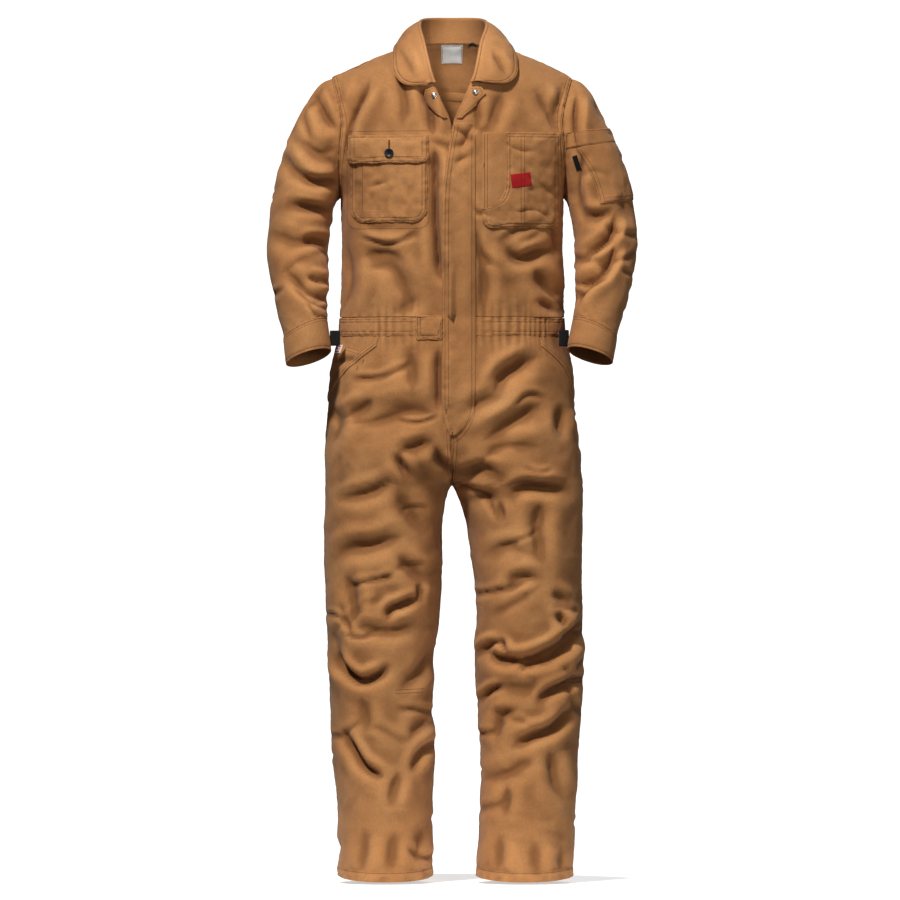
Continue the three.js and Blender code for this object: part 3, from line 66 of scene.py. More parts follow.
class Table:
    """Rows with named columns, read on a smooth curve through the rows."""

    def __init__(self, names, rows):
        self.names = names.split()
        self.rows = np.array(rows, float)

    def read(self, at, name):
        key, value = self.rows[:, 0], self.rows[:, self.names.index(name)]
        at = np.asarray(at, float)
        i = np.searchsorted(key[1:-1], at, side="left")
        step = key[i + 1] - key[i]
        t = (at - key[i]) / step
        rows = np.arange(len(key))
        before, after = np.maximum(0, rows - 1), np.minimum(len(key) - 1, rows + 1)
        slope = (value[after] - value[before]) / (key[after] - key[before])
        t2, t3 = t * t, t * t * t
        return ((2 * t3 - 3 * t2 + 1) * value[i] + (t3 - 2 * t2 + t) * step * slope[i]
                + (3 * t2 - 2 * t3) * value[i + 1] + (t3 - t2) * step * slope[i + 1])

    def point(self, at):
        return np.stack([self.read(at, c) for c in "xyz"], -1)


# The same sections as in the solids
FRONT_ROWS = Table("level x y z round", [
    (0, 0, -116, -471, 1.0), (1, 0, -121, -415, 1.0), (2, 0, -126, -350, 1.0), (3, 0, -129, -290, 1.0),
    (4, 0, -127, -240, 0.9), (5, 0, -122, -197, 0.55), (6, 0, -115, -160, 0.42),
    (7, 2, -108, -128, 0.36), (8, 18, -101, -92, 0.34), (9, 33, -92, -58, 0.34),
    (10, 47, -82, -38, 0.34), (11, 60, -62, -19, 0.34), (12, 71, -36, -3, 0.34), (13, 78, -6, 8, 0.34),
])
BACK_ROWS = Table("level x y z round", [
    (0, 0, 98, -471, 1.0), (1, 0, 101, -415, 1.0), (2, 0, 109, -350, 1.0), (3, 0, 117, -292, 1.0),
    (4, 0, 122, -240, 0.9), (5, 0, 123, -188, 0.6), (6, 0, 119, -135, 0.5), (7, 0, 110, -77, 0.48),
])
SIDE_SEAM = Table("level x y z", [
    (0, 197, 0, -471), (1, 195, 2, -415), (2, 194, 4, -350), (3, 194, 6, -302), (4, 196, 8, -262),
])
FRONT_ARMHOLE = Table("level x y z", [
    (4, 196, 8, -262), (5, 198, -26, -228), (6, 198, -47, -190), (7, 196, -55, -156),
    (8, 194, -54, -130), (9, 196, -50, -109), (10, 200, -42, -91), (11, 204, -32, -75),
    (12, 208, -20, -61), (13, 211, -6, -50),
])
BACK_ARMHOLE = Table("level x y z", [
    (4, 196, 8, -262), (5, 197, 40, -218), (6, 197, 55, -164), (7, 201, 48, -104),
])
COLLAR_ROLL = Table("along x y z", [
    (0, -31, -103, -60), (1, -37, -96, -42), (2, -43, -80, -18), (3, -50, -52, 13), (4, -57, -14, 43),
    (5, -48, 34, 55), (6, 0, 58, 57), (7, 50, 34, 55), (8, 61, -14, 43), (9, 52, -52, 13),
    (10, 46, -80, -18), (11, 41, -96, -42), (12, 35, -103, -58),
])
COLLAR_EDGE = Table("along x y z", [
    (0, -44, -105, -66), (1, -80, -99, -64), (2, -98, -86, -50), (3, -104, -62, -27), (4, -102, -18, 6),
    (5, -86, 52, 9), (6, 0, 97, 4), (7, 90, 52, 9), (8, 108, -18, 4), (9, 115, -62, -25),
    (10, 112, -84, -48), (11, 93, -99, -61), (12, 54, -105, -60),
])
COLLAR_NECK = Table("along x y z", [
    (0, -35, -91, -55), (1, -47, -82, -38), (2, -60, -62, -19), (3, -71, -36, -3), (4, -78, -6, 8),
    (5, -58, 44, 13), (6, 0, 64, 15), (7, 58, 44, 13), (8, 78, -6, 8), (9, 71, -36, -3),
    (10, 60, -62, -19), (11, 47, -82, -38), (12, 35, -91, -55),
])
SLEEVE_RINGS = Table("ring outX outZ inX inZ toward deep lean", [
    (0, 211, -50, 196, -262, 0, 54, 0), (1, 230, -59, 200, -265, 0, 58, 0),
    (2, 249, -84, 203, -268, 0, 62, 0), (3, 269, -122, 206, -273, 0, 64, 0),
    (4, 288, -164, 208, -280, 0, 64, 0), (5, 303, -206, 210, -290, 0, 63, 1),
    (6, 314, -250, 213, -306, 1, 62, 3), (7, 322, -300, 216, -328, 4, 60, 5),
    (8, 325, -350, 217, -356, 12, 59, 8), (9, 321, -397, 217, -388, 24, 57, 10),
    (10, 312, -438, 218, -420, 40, 54, 11), (11, 302, -476, 219, -448, 56, 50, 11),
    (12, 295, -507, 219, -473, 68, 46, 11), (13, 292, -530, 216, -502, 75, 45, 11),
    (14, 289, -553, 212, -530, 80, 44, 11),
])
LEG_ROWS = Table("drop midR halfR midL halfL front back crease", [
    (504, 0, 199, 0, 199, 118, 100, 0), (563, 20, 193, 20, 191, 121, 117, 0),
    (640, 52, 165, 54, 160, 121, 128, 0.12), (700, 78, 143, 80, 143, 118, 126, 0.45),
    (740, 98, 122.5, 101, 125, 113, 120, 0.85), (765, 110.2, 110, 114.2, 114, 107, 112, 1),
    (776, 114, 107, 118, 111, 105, 110, 1), (816, 120, 102.5, 126, 103, 101, 104, 1),
    (900, 121.5, 102.5, 132, 95.5, 99, 101, 1), (984, 121.5, 99, 137, 92, 97, 99, 1),
    (1068, 124.5, 93, 135, 94.5, 97, 94, 1), (1152, 124, 89.5, 136.5, 91, 93, 92, 1),
    (1236, 121.5, 88.5, 137.5, 85, 90, 92, 1), (1320, 118, 83, 134, 83, 90, 90, 1),
    (1425, 116.5, 81.5, 128, 82.5, 92, 88, 1), (1470, 116, 81.5, 127, 82.5, 92, 88, 1),
])
PLACKET_ROWS = Table("drop left right", [
    (129, 3, 40), (171, -5, 42), (240, -14, 42), (300, -16, 42), (600, -16, 42), (640, -15, 37),
    (660, -11, 27), (672, -7, 16), (680, -3, 6),
])
PEN_EDGE = Table("drop x", [
    (147, 93), (235, 93), (255, 90), (270, 80), (284, 56),
])
BACK_NECK_Y, BACK_NECK_Z = 64, 15
ARMPIT_LEVEL, YOKE_LEVEL, FRONT_TOP_LEVEL = 4, 7, 13
YOKE_RISE, YOKE_SWELL, NECK_SHARE = 13, 15, 0.42
WAIST_BOTTOM, CROTCH, HEM, HEM_SAG = 504, 765, 1452, 9
CUFF_RING, LAST_RING, ARMHOLE_BLEND = 12, 14, 4
LEFT_CUFF = {"fromRing": 8, "x": -9, "z": 3, "toward": 7}


def smooth(low, high, at):
    t = np.clip((np.asarray(at, float) - low) / (high - low), 0, 1)
    return t * t * (3 - 2 * t)


def lerp(a, b, t):
    return a + (b - a) * t


def lengths_along(points):
    return np.concatenate([[0], np.cumsum(np.linalg.norm(np.diff(points, axis=0), axis=1))])


# Skins: (s, t) to points on the solids' outer faces

def body_row(inner, outer, round_, s):
    across = (1 - round_) * s + round_ * np.sin(s * math.pi / 2)
    depth = (1 - round_) * (1 - s * s) + round_ * np.cos(s * math.pi / 2)
    return np.stack([
        lerp(inner[..., 0], outer[..., 0], across),
        lerp(outer[..., 1], inner[..., 1], depth),
        lerp(inner[..., 2], outer[..., 2], s),
    ], -1)


def front_edge(level):
    level = np.asarray(level, float)
    return np.where((level <= ARMPIT_LEVEL)[..., None], SIDE_SEAM.point(level), FRONT_ARMHOLE.point(level))


def back_edge(level):
    level = np.asarray(level, float)
    return np.where((level <= ARMPIT_LEVEL)[..., None], SIDE_SEAM.point(level), BACK_ARMHOLE.point(level))


def front_skin(side):
    def skin(s, level):
        p = body_row(FRONT_ROWS.point(level), front_edge(level), FRONT_ROWS.read(level, "round"), s)
        return p * (side, 1, 1)
    return skin


def back_skin(s, level):
    s, level = np.broadcast_arrays(np.asarray(s, float), np.asarray(level, float))
    p = body_row(BACK_ROWS.point(level), back_edge(level), BACK_ROWS.read(level, "round"), np.abs(s))
    p[..., 0] *= np.where(s < 0, -1, 1)
    return p


def yoke_top(s):
    out = np.abs(s)
    neck = FRONT_ROWS.point(float(FRONT_TOP_LEVEL))
    angle = np.minimum(out / NECK_SHARE, 1) * math.pi / 2
    round_neck = np.stack([
        neck[0] * np.sin(angle),
        neck[1] + (BACK_NECK_Y - neck[1]) * np.cos(angle),
        neck[2] + (BACK_NECK_Z - neck[2]) * np.cos(angle),
    ], -1)
    f = (out - NECK_SHARE) / (1 - NECK_SHARE)
    shoulder = body_row(np.broadcast_to(neck, (*out.shape, 3)), front_edge(np.full(out.shape, 13.0)),
                        np.full(out.shape, 0.34), f)
    p = np.where((out <= NECK_SHARE)[..., None], round_neck, shoulder)
    p[..., 0] *= np.where(s < 0, -1, 1)
    return p


def yoke_skin(s, t):
    s, t = np.broadcast_arrays(np.asarray(s, float), np.asarray(t, float))
    low, high = back_skin(s, np.full(s.shape, float(YOKE_LEVEL))), yoke_top(s)
    middle = (low + high) / 2
    on_shoulder = smooth(NECK_SHARE * 0.6, NECK_SHARE * 1.4, np.abs(s))
    middle[..., 2] += YOKE_RISE + YOKE_SWELL * on_shoulder
    middle[..., 1] += YOKE_RISE * (1 - 0.3 * on_shoulder)
    t = t[..., None]
    return low * (1 - t) ** 2 + middle * 2 * t * (1 - t) + high * t * t


def along(points, fraction):
    length = lengths_along(points)
    return np.stack([np.interp(fraction * length[-1], length, points[:, k]) for k in range(3)], -1)


LOOP_STEPS = np.linspace(0, 1, 49)
ARMHOLE_FRONT = front_edge(4 + 9 * LOOP_STEPS)
ARMHOLE_BACK = np.concatenate([yoke_skin(1.0, 1 - LOOP_STEPS), back_edge(7 - 3 * LOOP_STEPS[1:])])


def armhole_point(turn):
    return np.where((turn <= 0.5)[..., None], along(ARMHOLE_FRONT, np.minimum(turn * 2, 1)),
                    along(ARMHOLE_BACK, np.maximum(turn * 2 - 1, 0)))


def sleeve_ring(side, turn, ring):
    row = {n: SLEEVE_RINGS.read(ring, n) for n in SLEEVE_RINGS.names[1:]}
    inward = smooth(LEFT_CUFF["fromRing"], LAST_RING, ring) * (side > 0)
    angle = turn * 2 * math.pi
    mid_x = (row["outX"] + row["inX"]) / 2 + LEFT_CUFF["x"] * inward
    mid_z = (row["outZ"] + row["inZ"]) / 2 + LEFT_CUFF["z"] * inward
    return np.stack([
        mid_x + (row["inX"] - row["outX"]) / 2 * np.cos(angle),
        -row["toward"] - LEFT_CUFF["toward"] * inward - row["deep"] * np.sin(angle),
        mid_z + (row["inZ"] - row["outZ"]) / 2 * np.cos(angle) + row["lean"] * np.sin(angle),
    ], -1)


def sleeve_skin(side):
    def skin(turn, ring):
        turn, ring = np.broadcast_arrays(np.asarray(turn, float), np.asarray(ring, float))
        turn = turn % 1.0
        oval = sleeve_ring(side, turn, ring)
        shift = oval - sleeve_ring(side, turn, np.zeros_like(ring))
        blend = smooth(0, ARMHOLE_BLEND, ring)[..., None]
        p = lerp(armhole_point(turn) + shift, oval, blend)
        return p * (side, 1, 1) + (side * ARMHOLE_GAP, 0, 0)
    return skin


def leg_skin(side, face):
    letter = "R" if side < 0 else "L"

    def skin(s, drop):
        s, drop = np.broadcast_arrays(np.asarray(s, float), np.asarray(drop, float))
        mid, half = LEG_ROWS.read(drop, "mid" + letter), LEG_ROWS.read(drop, "half" + letter)
        depth = LEG_ROWS.read(drop, "front" if face == FRONT else "back")
        crease = np.clip(LEG_ROWS.read(drop, "crease"), 0, 1)
        start = -np.arcsin(np.minimum(1, (mid - SEAM_GAP / 2) / half))
        angle = start + (math.pi / 2 - start) * s
        shape = np.where(angle < 0, 1 - crease * (1 - np.cos(angle)), np.cos(angle))
        sag = HEM_SAG * shape * smooth(CROTCH, HEM, drop) * (face == FRONT)
        return np.stack([side * (mid + half * np.sin(angle)), face * depth * shape, -drop - sag], -1)
    return skin


def waist_skin(side, face):
    def skin(s, t):
        s, t = np.broadcast_arrays(np.asarray(s, float), np.asarray(t, float))
        level = np.zeros_like(s)
        upper = front_skin(side)(s, level) if face == FRONT else back_skin(side * np.abs(s), level)
        lower = leg_skin(side, face)(np.abs(s), np.full(s.shape, float(WAIST_BOTTOM)))
        lower[..., 0] = np.where(s == 0, upper[..., 0], lower[..., 0])
        return lerp(lower, upper, t[..., None])
    return skin


# Folds: half width, depth, then the fold's path as seen from the front. Each is
# a soft trough with a ridge on both sides. The groups that end in B are hidden in front view.
FOLDS = {"legF": [
    (15, 8, [(-203, -891), (-180, -877), (-135, -870), (-84, -852)]),
    (12, 6, [(-96, -891), (-70, -914), (-56, -934)]),
    (8, 9, [(-114, -1008), (-108, -985), (-88, -975), (-58, -962)]),
    (6, 6, [(-58, -942), (-54, -966)]),
    (13, 7, [(-187, -922), (-175, -961), (-178, -1004)]),
    (12, 5, [(-175, -1010), (-117, -1022), (-60, -1012)]),
    (9, 11, [(-206, -1054), (-194, -1085), (-161, -1108), (-130, -1099), (-112, -1082)]),
    (9, 11, [(-191, -1197), (-175, -1228), (-154, -1258), (-119, -1278)]),
    (9, 8, [(-32, -1216), (-54, -1234), (-70, -1267)]),
    (11, 6, [(-94, -1272), (-107, -1321)]),
    (14, 4, [(-214, -1022), (-198, -1062)]),
    (12, 4, [(-152, -1372), (-159, -1435)]),
    (12, 4, [(-102, -1379), (-108, -1435)]),
    (12, 4, [(-49, -1362), (-60, -1424)]),
    (16, 6, [(-96, -782), (-74, -817), (-56, -847)]),
    (12, 4, [(-158, -1141), (-150, -1190)]),
    (12, 5, [(-42, -1172), (-74, -1208)]),
    (12, 5, [(-38, -1054), (-56, -1092), (-91, -1124)]),
    (10, 12, [(58, -1057), (93, -1073), (136, -1068), (184, -1046), (233, -1003)]),
    (6, 8, [(86, -1038), (96, -1060)]),
    (7, 7, [(44, -1064), (63, -1046), (86, -1040)]),
    (9, 11, [(117, -1101), (130, -1082), (172, -1071), (214, -1040), (231, -1018)]),
    (6, 7, [(49, -1146), (65, -1127), (89, -1116)]),
    (14, 4, [(89, -1118), (136, -1122), (164, -1116)]),
    (9, 10, [(150, -1148), (173, -1127), (228, -1104)]),
    (11, 11, [(108, -1223), (136, -1208), (180, -1190), (214, -1155)]),
    (10, 7, [(77, -1208), (84, -1172), (112, -1157)]),
    (13, 8, [(172, -1232), (182, -1284), (192, -1312)]),
    (10, 5, [(98, -1292), (93, -1339)]),
    (14, 6, [(140, -1246), (102, -1267), (56, -1281)]),
    (15, 9, [(156, -791), (149, -844), (159, -906)]),
    (12, 5, [(35, -788), (60, -784), (80, -794)]),
    (7, 5, [(82, -800), (89, -822)]),
    (12, 4, [(60, -884), (105, -873), (138, -887)]),
    (11, 6, [(102, -952), (112, -931), (154, -926)]),
    (7, 9, [(187, -992), (200, -1017)]),
    (10, 5, [(180, -957), (201, -970)]),
    (14, 4, [(145, -1396), (149, -1442)]),
    (12, 4, [(192, -1404), (191, -1435)]),
    (12, 4, [(84, -1386), (80, -1435)]),
    (12, 6, [(-192, -648), (-158, -630), (-138, -614)]),
    (22, 8, [(-191, -658), (-130, -651), (-70, -635), (-21, -644)]),
    (8, 8, [(-98, -714), (-88, -732), (-77, -751)]),
    (12, 6, [(-88, -705), (-65, -698), (-38, -690)]),
    (9, 9, [(-28, -702), (-21, -723), (-4, -742)]),
    (15, 11, [(75, -606), (91, -576), (116, -558), (147, -542)]),
    (17, 9, [(47, -691), (89, -668), (156, -623)]),
    (14, 5, [(40, -733), (89, -698), (156, -698)]),
    (12, 10, [(100, -786), (131, -768), (201, -775)]),
    (10, 8, [(189, -630), (192, -676)]),
    (12, 5, [(-210, -623), (-201, -662), (-212, -696)]),
    (14, 6, [(-75, -532), (-68, -602)]),
    (9, 9, [(-24, -528), (-24, -637)]),
    (13, 5, [(19, -642), (52, -620), (84, -611)]),
    (12, 6, [(18, -752), (49, -738), (84, -749)]),
    (12, 6, [(-196, -791), (-140, -777), (-105, -756)]),
], "bodyF": [
    (11, 11, [(-147, -56), (-175, -112), (-187, -147), (-191, -192)]),
    (9, 10, [(-58, -66), (-40, -105), (-33, -154)]),
    (9, 11, [(-30, -178), (-30, -275), (-26, -354), (-21, -406)]),
    (12, 5, [(-98, -42), (-84, -91), (-88, -136)]),
    (17, 6, [(-158, -364), (-119, -359), (-88, -368)]),
    (18, 6, [(-154, -383), (-105, -388), (-72, -452)]),
    (10, 6, [(42, -84), (46, -140)]),
    (6, 6, [(0, -140), (21, -154), (37, -173)]),
    (6, 6, [(38, -133), (24, -161), (14, -187)]),
    (6, 5, [(5, -205), (28, -189)]),
    (14, 6, [(88, -77), (74, -112), (58, -147)]),
    (13, 6, [(149, -77), (168, -112), (177, -144)]),
    (11, 10, [(200, -63), (189, -112), (200, -164)]),
    (11, 8, [(94, -346), (119, -369), (175, -352)]),
    (14, 8, [(144, -383), (164, -415), (194, -450)]),
    (10, 6, [(152, -443), (186, -460)]),
    (10, 5, [(180, -312), (186, -357)]),
    (14, 5, [(-187, -336), (-180, -406), (-194, -458)]),
    (12, 5, [(49, -336), (56, -415), (51, -467)]),
    (14, 4, [(-65, -441), (-94, -462)]),
], "slvF": [
    (11, 9, [(-243, -77), (-222, -116), (-194, -147)]),
    (9, 10, [(-273, -220), (-242, -233), (-201, -233)]),
    (9, 8, [(-285, -273), (-245, -280), (-212, -285)]),
    (9, 8, [(-266, -341), (-238, -336), (-215, -346)]),
    (8, 7, [(-256, -399), (-220, -413)]),
    (10, 8, [(-290, -390), (-252, -425), (-208, -443)]),
    (12, 5, [(-299, -178), (-280, -210), (-261, -220)]),
    (14, 5, [(-315, -322), (-284, -336), (-256, -336)]),
    (14, 5, [(-266, -161), (-234, -182), (-206, -178)]),
    (9, 8, [(219, -77), (215, -144), (220, -192)]),
    (10, 7, [(229, -182), (219, -248), (233, -301)]),
    (9, 10, [(287, -290), (275, -332), (226, -368)]),
    (9, 9, [(289, -336), (266, -392), (208, -416)]),
    (9, 7, [(256, -404), (215, -436)]),
    (10, 6, [(234, -294), (261, -294), (282, -280)]),
    (10, 6, [(198, -453), (231, -425)]),
    (13, 5, [(298, -248), (312, -292)]),
    (13, 5, [(256, -88), (276, -119)]),
], "legB": [
    (16, 8, [(-172, -760), (-120, -812), (-60, -806)]),
    (14, 6, [(-190, -838), (-130, -856), (-72, -836)]),
    (18, 6, [(-40, -560), (-74, -640), (-60, -720)]),
    (14, 5, [(-150, -560), (-120, -640)]),
    (10, 9, [(-203, -1010), (-140, -1048), (-52, -1030)]),
    (9, 9, [(-196, -1078), (-120, -1094), (-60, -1070)]),
    (10, 7, [(-200, -1120), (-150, -1150), (-80, -1138)]),
    (13, 6, [(-60, -1190), (-110, -1250), (-180, -1268)]),
    (14, 4, [(-150, -1370), (-154, -1440)]),
    (14, 4, [(-90, -1376), (-84, -1440)]),
    (15, 8, [(184, -752), (128, -806), (64, -800)]),
    (14, 6, [(200, -846), (140, -850), (86, -826)]),
    (18, 6, [(46, -570), (70, -650), (56, -724)]),
    (14, 5, [(156, -552), (140, -636)]),
    (10, 9, [(222, -1020), (160, -1040), (60, -1056)]),
    (9, 8, [(218, -1084), (150, -1100), (70, -1082)]),
    (10, 8, [(212, -1146), (150, -1160), (96, -1132)]),
    (13, 6, [(72, -1200), (110, -1240), (196, -1290)]),
    (14, 4, [(168, -1360), (160, -1440)]),
], "bodyB": [
    (15, 7, [(-178, -170), (-140, -230), (-96, -300)]),
    (15, 7, [(176, -160), (146, -226), (90, -292)]),
    (12, 7, [(-188, -118), (-176, -170), (-182, -230)]),
    (12, 7, [(188, -112), (178, -172), (184, -226)]),
    (18, 7, [(-130, -372), (-40, -404), (60, -388)]),
    (16, 6, [(150, -350), (90, -420), (20, -432)]),
    (16, 5, [(-20, -140), (-26, -250)]),
    (14, 5, [(-168, -390), (-120, -436)]),
    (16, 4, [(48, -130), (60, -210)]),
], "slvB": [
    (10, 8, [(-258, -120), (-236, -170), (-208, -186)]),
    (10, 9, [(-312, -300), (-270, -326), (-226, -318)]),
    (9, 8, [(-318, -352), (-276, -362), (-228, -348)]),
    (10, 6, [(-300, -420), (-260, -416), (-226, -396)]),
    (10, 8, [(262, -126), (236, -168), (210, -184)]),
    (10, 9, [(316, -308), (268, -318), (226, -334)]),
    (9, 8, [(318, -362), (272, -352), (228, -366)]),
    (10, 6, [(304, -430), (262, -410), (230, -402)]),
], "colF": [
    (8, 4, [(72, -6), (84, -24), (94, -44)]),
    (12, 3, [(-92, 0), (-78, -24), (-66, -48)]),
]}

# Noise: smooth random values on a lattice of cells, read at points in millimetres

HASH_PRIMES, HASH_MIX = (73856093, 19349663, 83492791), 1274126177


def lattice(cells):
    n = cells.astype(np.int64).view(np.uint64)
    x, y, z = (n[..., k] * np.uint64(prime) for k, prime in enumerate(HASH_PRIMES))
    mixed = x ^ y ^ z
    mixed = (mixed ^ (mixed >> np.uint64(13))) * np.uint64(HASH_MIX)
    mixed = mixed ^ (mixed >> np.uint64(16))
    return (mixed % np.uint64(65536)).astype(float) / 32768 - 1


def noise(points, cell, seed=0):
    p = np.asarray(points, float) / cell + seed * 17.3
    base = np.floor(p)
    f = p - base
    f = f * f * (3 - 2 * f)
    total = 0
    for corner in np.ndindex(2, 2, 2):
        share = np.where(corner, f, 1 - f).prod(-1)
        total = total + share * lattice(base + corner)
    return total


def facets(points, cell, seed):
    """Shallow dished areas that meet in soft ridges, as crisp cloth takes in use."""
    p = points * (0.75, 1.0, 1.2)
    p = p + 0.35 * cell * np.stack([noise(points, cell, seed + k) for k in (1, 2, 3)], -1)
    p = p / cell
    base = np.floor(p)
    best = np.full((2, *p.shape[:-1]), 9.0)
    for step in np.ndindex(3, 3, 3):
        at = base + step - 1.0
        centre = at + 0.5 + 0.42 * np.stack([lattice(at + k * 101 + seed) for k in (1, 2, 3)], -1)
        away = np.linalg.norm(p - centre, axis=-1)
        nearer = away < best[0]
        best[1] = np.where(nearer, best[0], np.minimum(best[1], away))
        best[0] = np.where(nearer, away, best[0])
    edge = best[1] - best[0]
    return 0.35 - np.sqrt(edge * edge + 0.006)


# Folds

def curved(path, steps=12):
    """A smooth curve through the points of a path."""
    p = np.array(path, float)
    p = np.vstack([2 * p[0] - p[1], p, 2 * p[-1] - p[-2]])
    t = np.linspace(0, 1, steps, endpoint=False)[:, None]
    parts = [0.5 * (2 * b + (c - a) * t + (2 * a - 5 * b + 4 * c - d) * t ** 2
                    + (3 * b - a - 3 * c + d) * t ** 3)
             for a, b, c, d in zip(p, p[1:], p[2:], p[3:])]
    return np.vstack([*parts, p[-2:-1]])


FOLD_DEPTH = 1.85


def trough(flat, width, depth, path):
    """One fold's height: a trough along the path, with a softer ridge on either side."""
    line = curved(path)
    start = lengths_along(line)
    total = start[-1]
    reach = 5 * width
    inside = ((flat >= line.min(0) - reach) & (flat <= line.max(0) + reach)).all(-1)
    height = np.zeros(flat.shape[:-1])
    if not inside.any():
        return height
    p = flat[inside]
    nearest, signed, at = np.full(len(p), 1e9), np.zeros(len(p)), np.zeros(len(p))
    for a, b, begins in zip(line, line[1:], start):
        run = b - a
        length = math.hypot(*run)
        t = np.clip((p - a) @ run / length ** 2, 0, 1)
        away = p - a - t[:, None] * run
        distance = np.hypot(away[:, 0], away[:, 1])
        closer = distance < nearest
        cross = (run[0] * away[:, 1] - run[1] * away[:, 0]) / length
        nearest = np.where(closer, distance, nearest)
        signed = np.where(closer, cross, signed)
        at = np.where(closer, begins + t * length, at)
    beyond = np.sqrt(np.maximum(0, nearest ** 2 - signed ** 2)) / width
    x = np.where(signed < 0, -nearest, nearest) / width
    run_in = min(0.4 * total, 3.5 * width)
    taper = smooth(-width, run_in, at) * smooth(-width, run_in, total - at) * np.exp(-beyond ** 2)
    profile = (-np.exp(-(np.abs(x) + 0.02) ** 1.15) + 0.5 * np.exp(-np.abs((x - 1.8) / 1.1) ** 1.6)
               + 0.3 * np.exp(-np.abs((x + 1.9) / 1.3) ** 1.6))
    height[inside] = FOLD_DEPTH * depth * taper * profile
    return height


WRINKLE_LEAN = (4, 32)  # degrees: mean and spread


def wrinkles(kind, count, region, seed):
    """Small folds scattered over a region, most of them nearly level."""
    pick = np.random.default_rng(seed)
    x0, x1, z0, z1 = region
    for _ in range(count):
        middle = np.array([pick.uniform(x0, x1), pick.uniform(z0, z1)])
        angle = math.radians(pick.normal(*WRINKLE_LEAN))
        length = pick.uniform(36, 110)
        run = np.array([math.cos(angle), math.sin(angle)]) * length / 2
        bend = np.array([-run[1], run[0]]) * pick.uniform(-0.5, 0.5)
        width, depth = pick.uniform(3.6, 7.5), pick.uniform(1.0, 2.8)
        FOLDS[kind].append((width, depth, [middle - run, middle + bend, middle + run]))


for kind, count, region, seed in (
    ("legF", 9, (-215, -35, -1440, -520), 1), ("legF", 9, (35, 230, -1440, -520), 2),
    ("legF", 6, (-215, -40, -1280, -900), 3), ("legF", 6, (50, 230, -1280, -900), 4),
    ("legB", 22, (-215, -35, -1440, -520), 5), ("legB", 22, (35, 230, -1440, -520), 6),
    ("bodyF", 14, (-185, 185, -460, -100), 7), ("bodyB", 24, (-185, 185, -460, -100), 8),
    ("slvF", 8, (-322, -212, -470, -110), 9), ("slvF", 8, (212, 322, -470, -110), 10),
    ("slvB", 14, (-322, -212, -470, -110), 11), ("slvB", 14, (212, 322, -470, -110), 12),
):
    wrinkles(kind, count, region, seed)


def folds(points, kind):
    """The height that all folds of one group give to the points."""
    flat = points[..., [0, 2]]
    return sum((trough(flat, *fold) for fold in FOLDS[kind]), np.zeros(points.shape[:-1]))


# Seams: the height that the cloth gains at a distance from its edge

def puckers(away, base, reach, amount, pitch=9.0):
    ripple = noise(base, pitch, 7) + 0.5 * noise(base, pitch / 2, 8)
    return amount * np.exp(-(away / reach) ** 2) * ripple


def lap(away, base):
    """The upper side of a felled seam, thick as far as its second row of stitches."""
    thick = 0.9 * (1 - smooth(9.5, 12.5, away)) * smooth(-0.1, 1.2, away)
    return thick - grooves(away, (3, 9)) + puckers(away, base, 17, 1.0)


def grooves(away, rows):
    """The cloth is drawn in under each row of stitches."""
    return sum(0.6 * np.exp(-((away - row) / 1.3) ** 2) for row in rows)


def under(away, base):
    return -0.5 * (1 - smooth(0, 3, away)) + puckers(away, base, 14, 0.8)


def hemmed(away, base):
    return 1.3 * (1 - smooth(15.5, 18, away)) - grooves(away, (15.5,)) + puckers(away, base, 24, 1.2, 12.0)


def plain(away, base):
    return puckers(away, base, 11, 0.5)


# Grids of points

def spread(low, high, count, ends=0.45):
    """Values from low to high, closer together at both ends."""
    t = np.linspace(0, 1, count)
    return low + (high - low) * (t - ends * np.sin(2 * np.pi * t) / (2 * np.pi))


def bordered(count, width):
    """Shares of a width, with extra ones just inside both edges for their rounding."""
    near = np.array([0, 0.35, 0.9, 1.8]) / width
    return np.concatenate([near, np.linspace(3 / width, 1 - 3 / width, count), (1 - near)[::-1]])


def grid_normals(points, like=None):
    n = np.cross(np.gradient(points, axis=0), np.gradient(points, axis=1))
    n /= np.linalg.norm(n, axis=-1, keepdims=True) + 1e-12
    return n if like is None else np.where((n * like).sum(-1, keepdims=True) < 0, -n, n)


def edge_distance(base, axis, low):
    """How far each point is from one edge of its grid, along the cloth."""
    away = np.cumsum(np.linalg.norm(np.diff(base, axis=axis), axis=-1), axis=axis)
    away = np.pad(away, [(1, 0), (0, 0)] if axis == 0 else [(0, 0), (1, 0)])
    return away if low else np.take(away, [-1], axis) - away


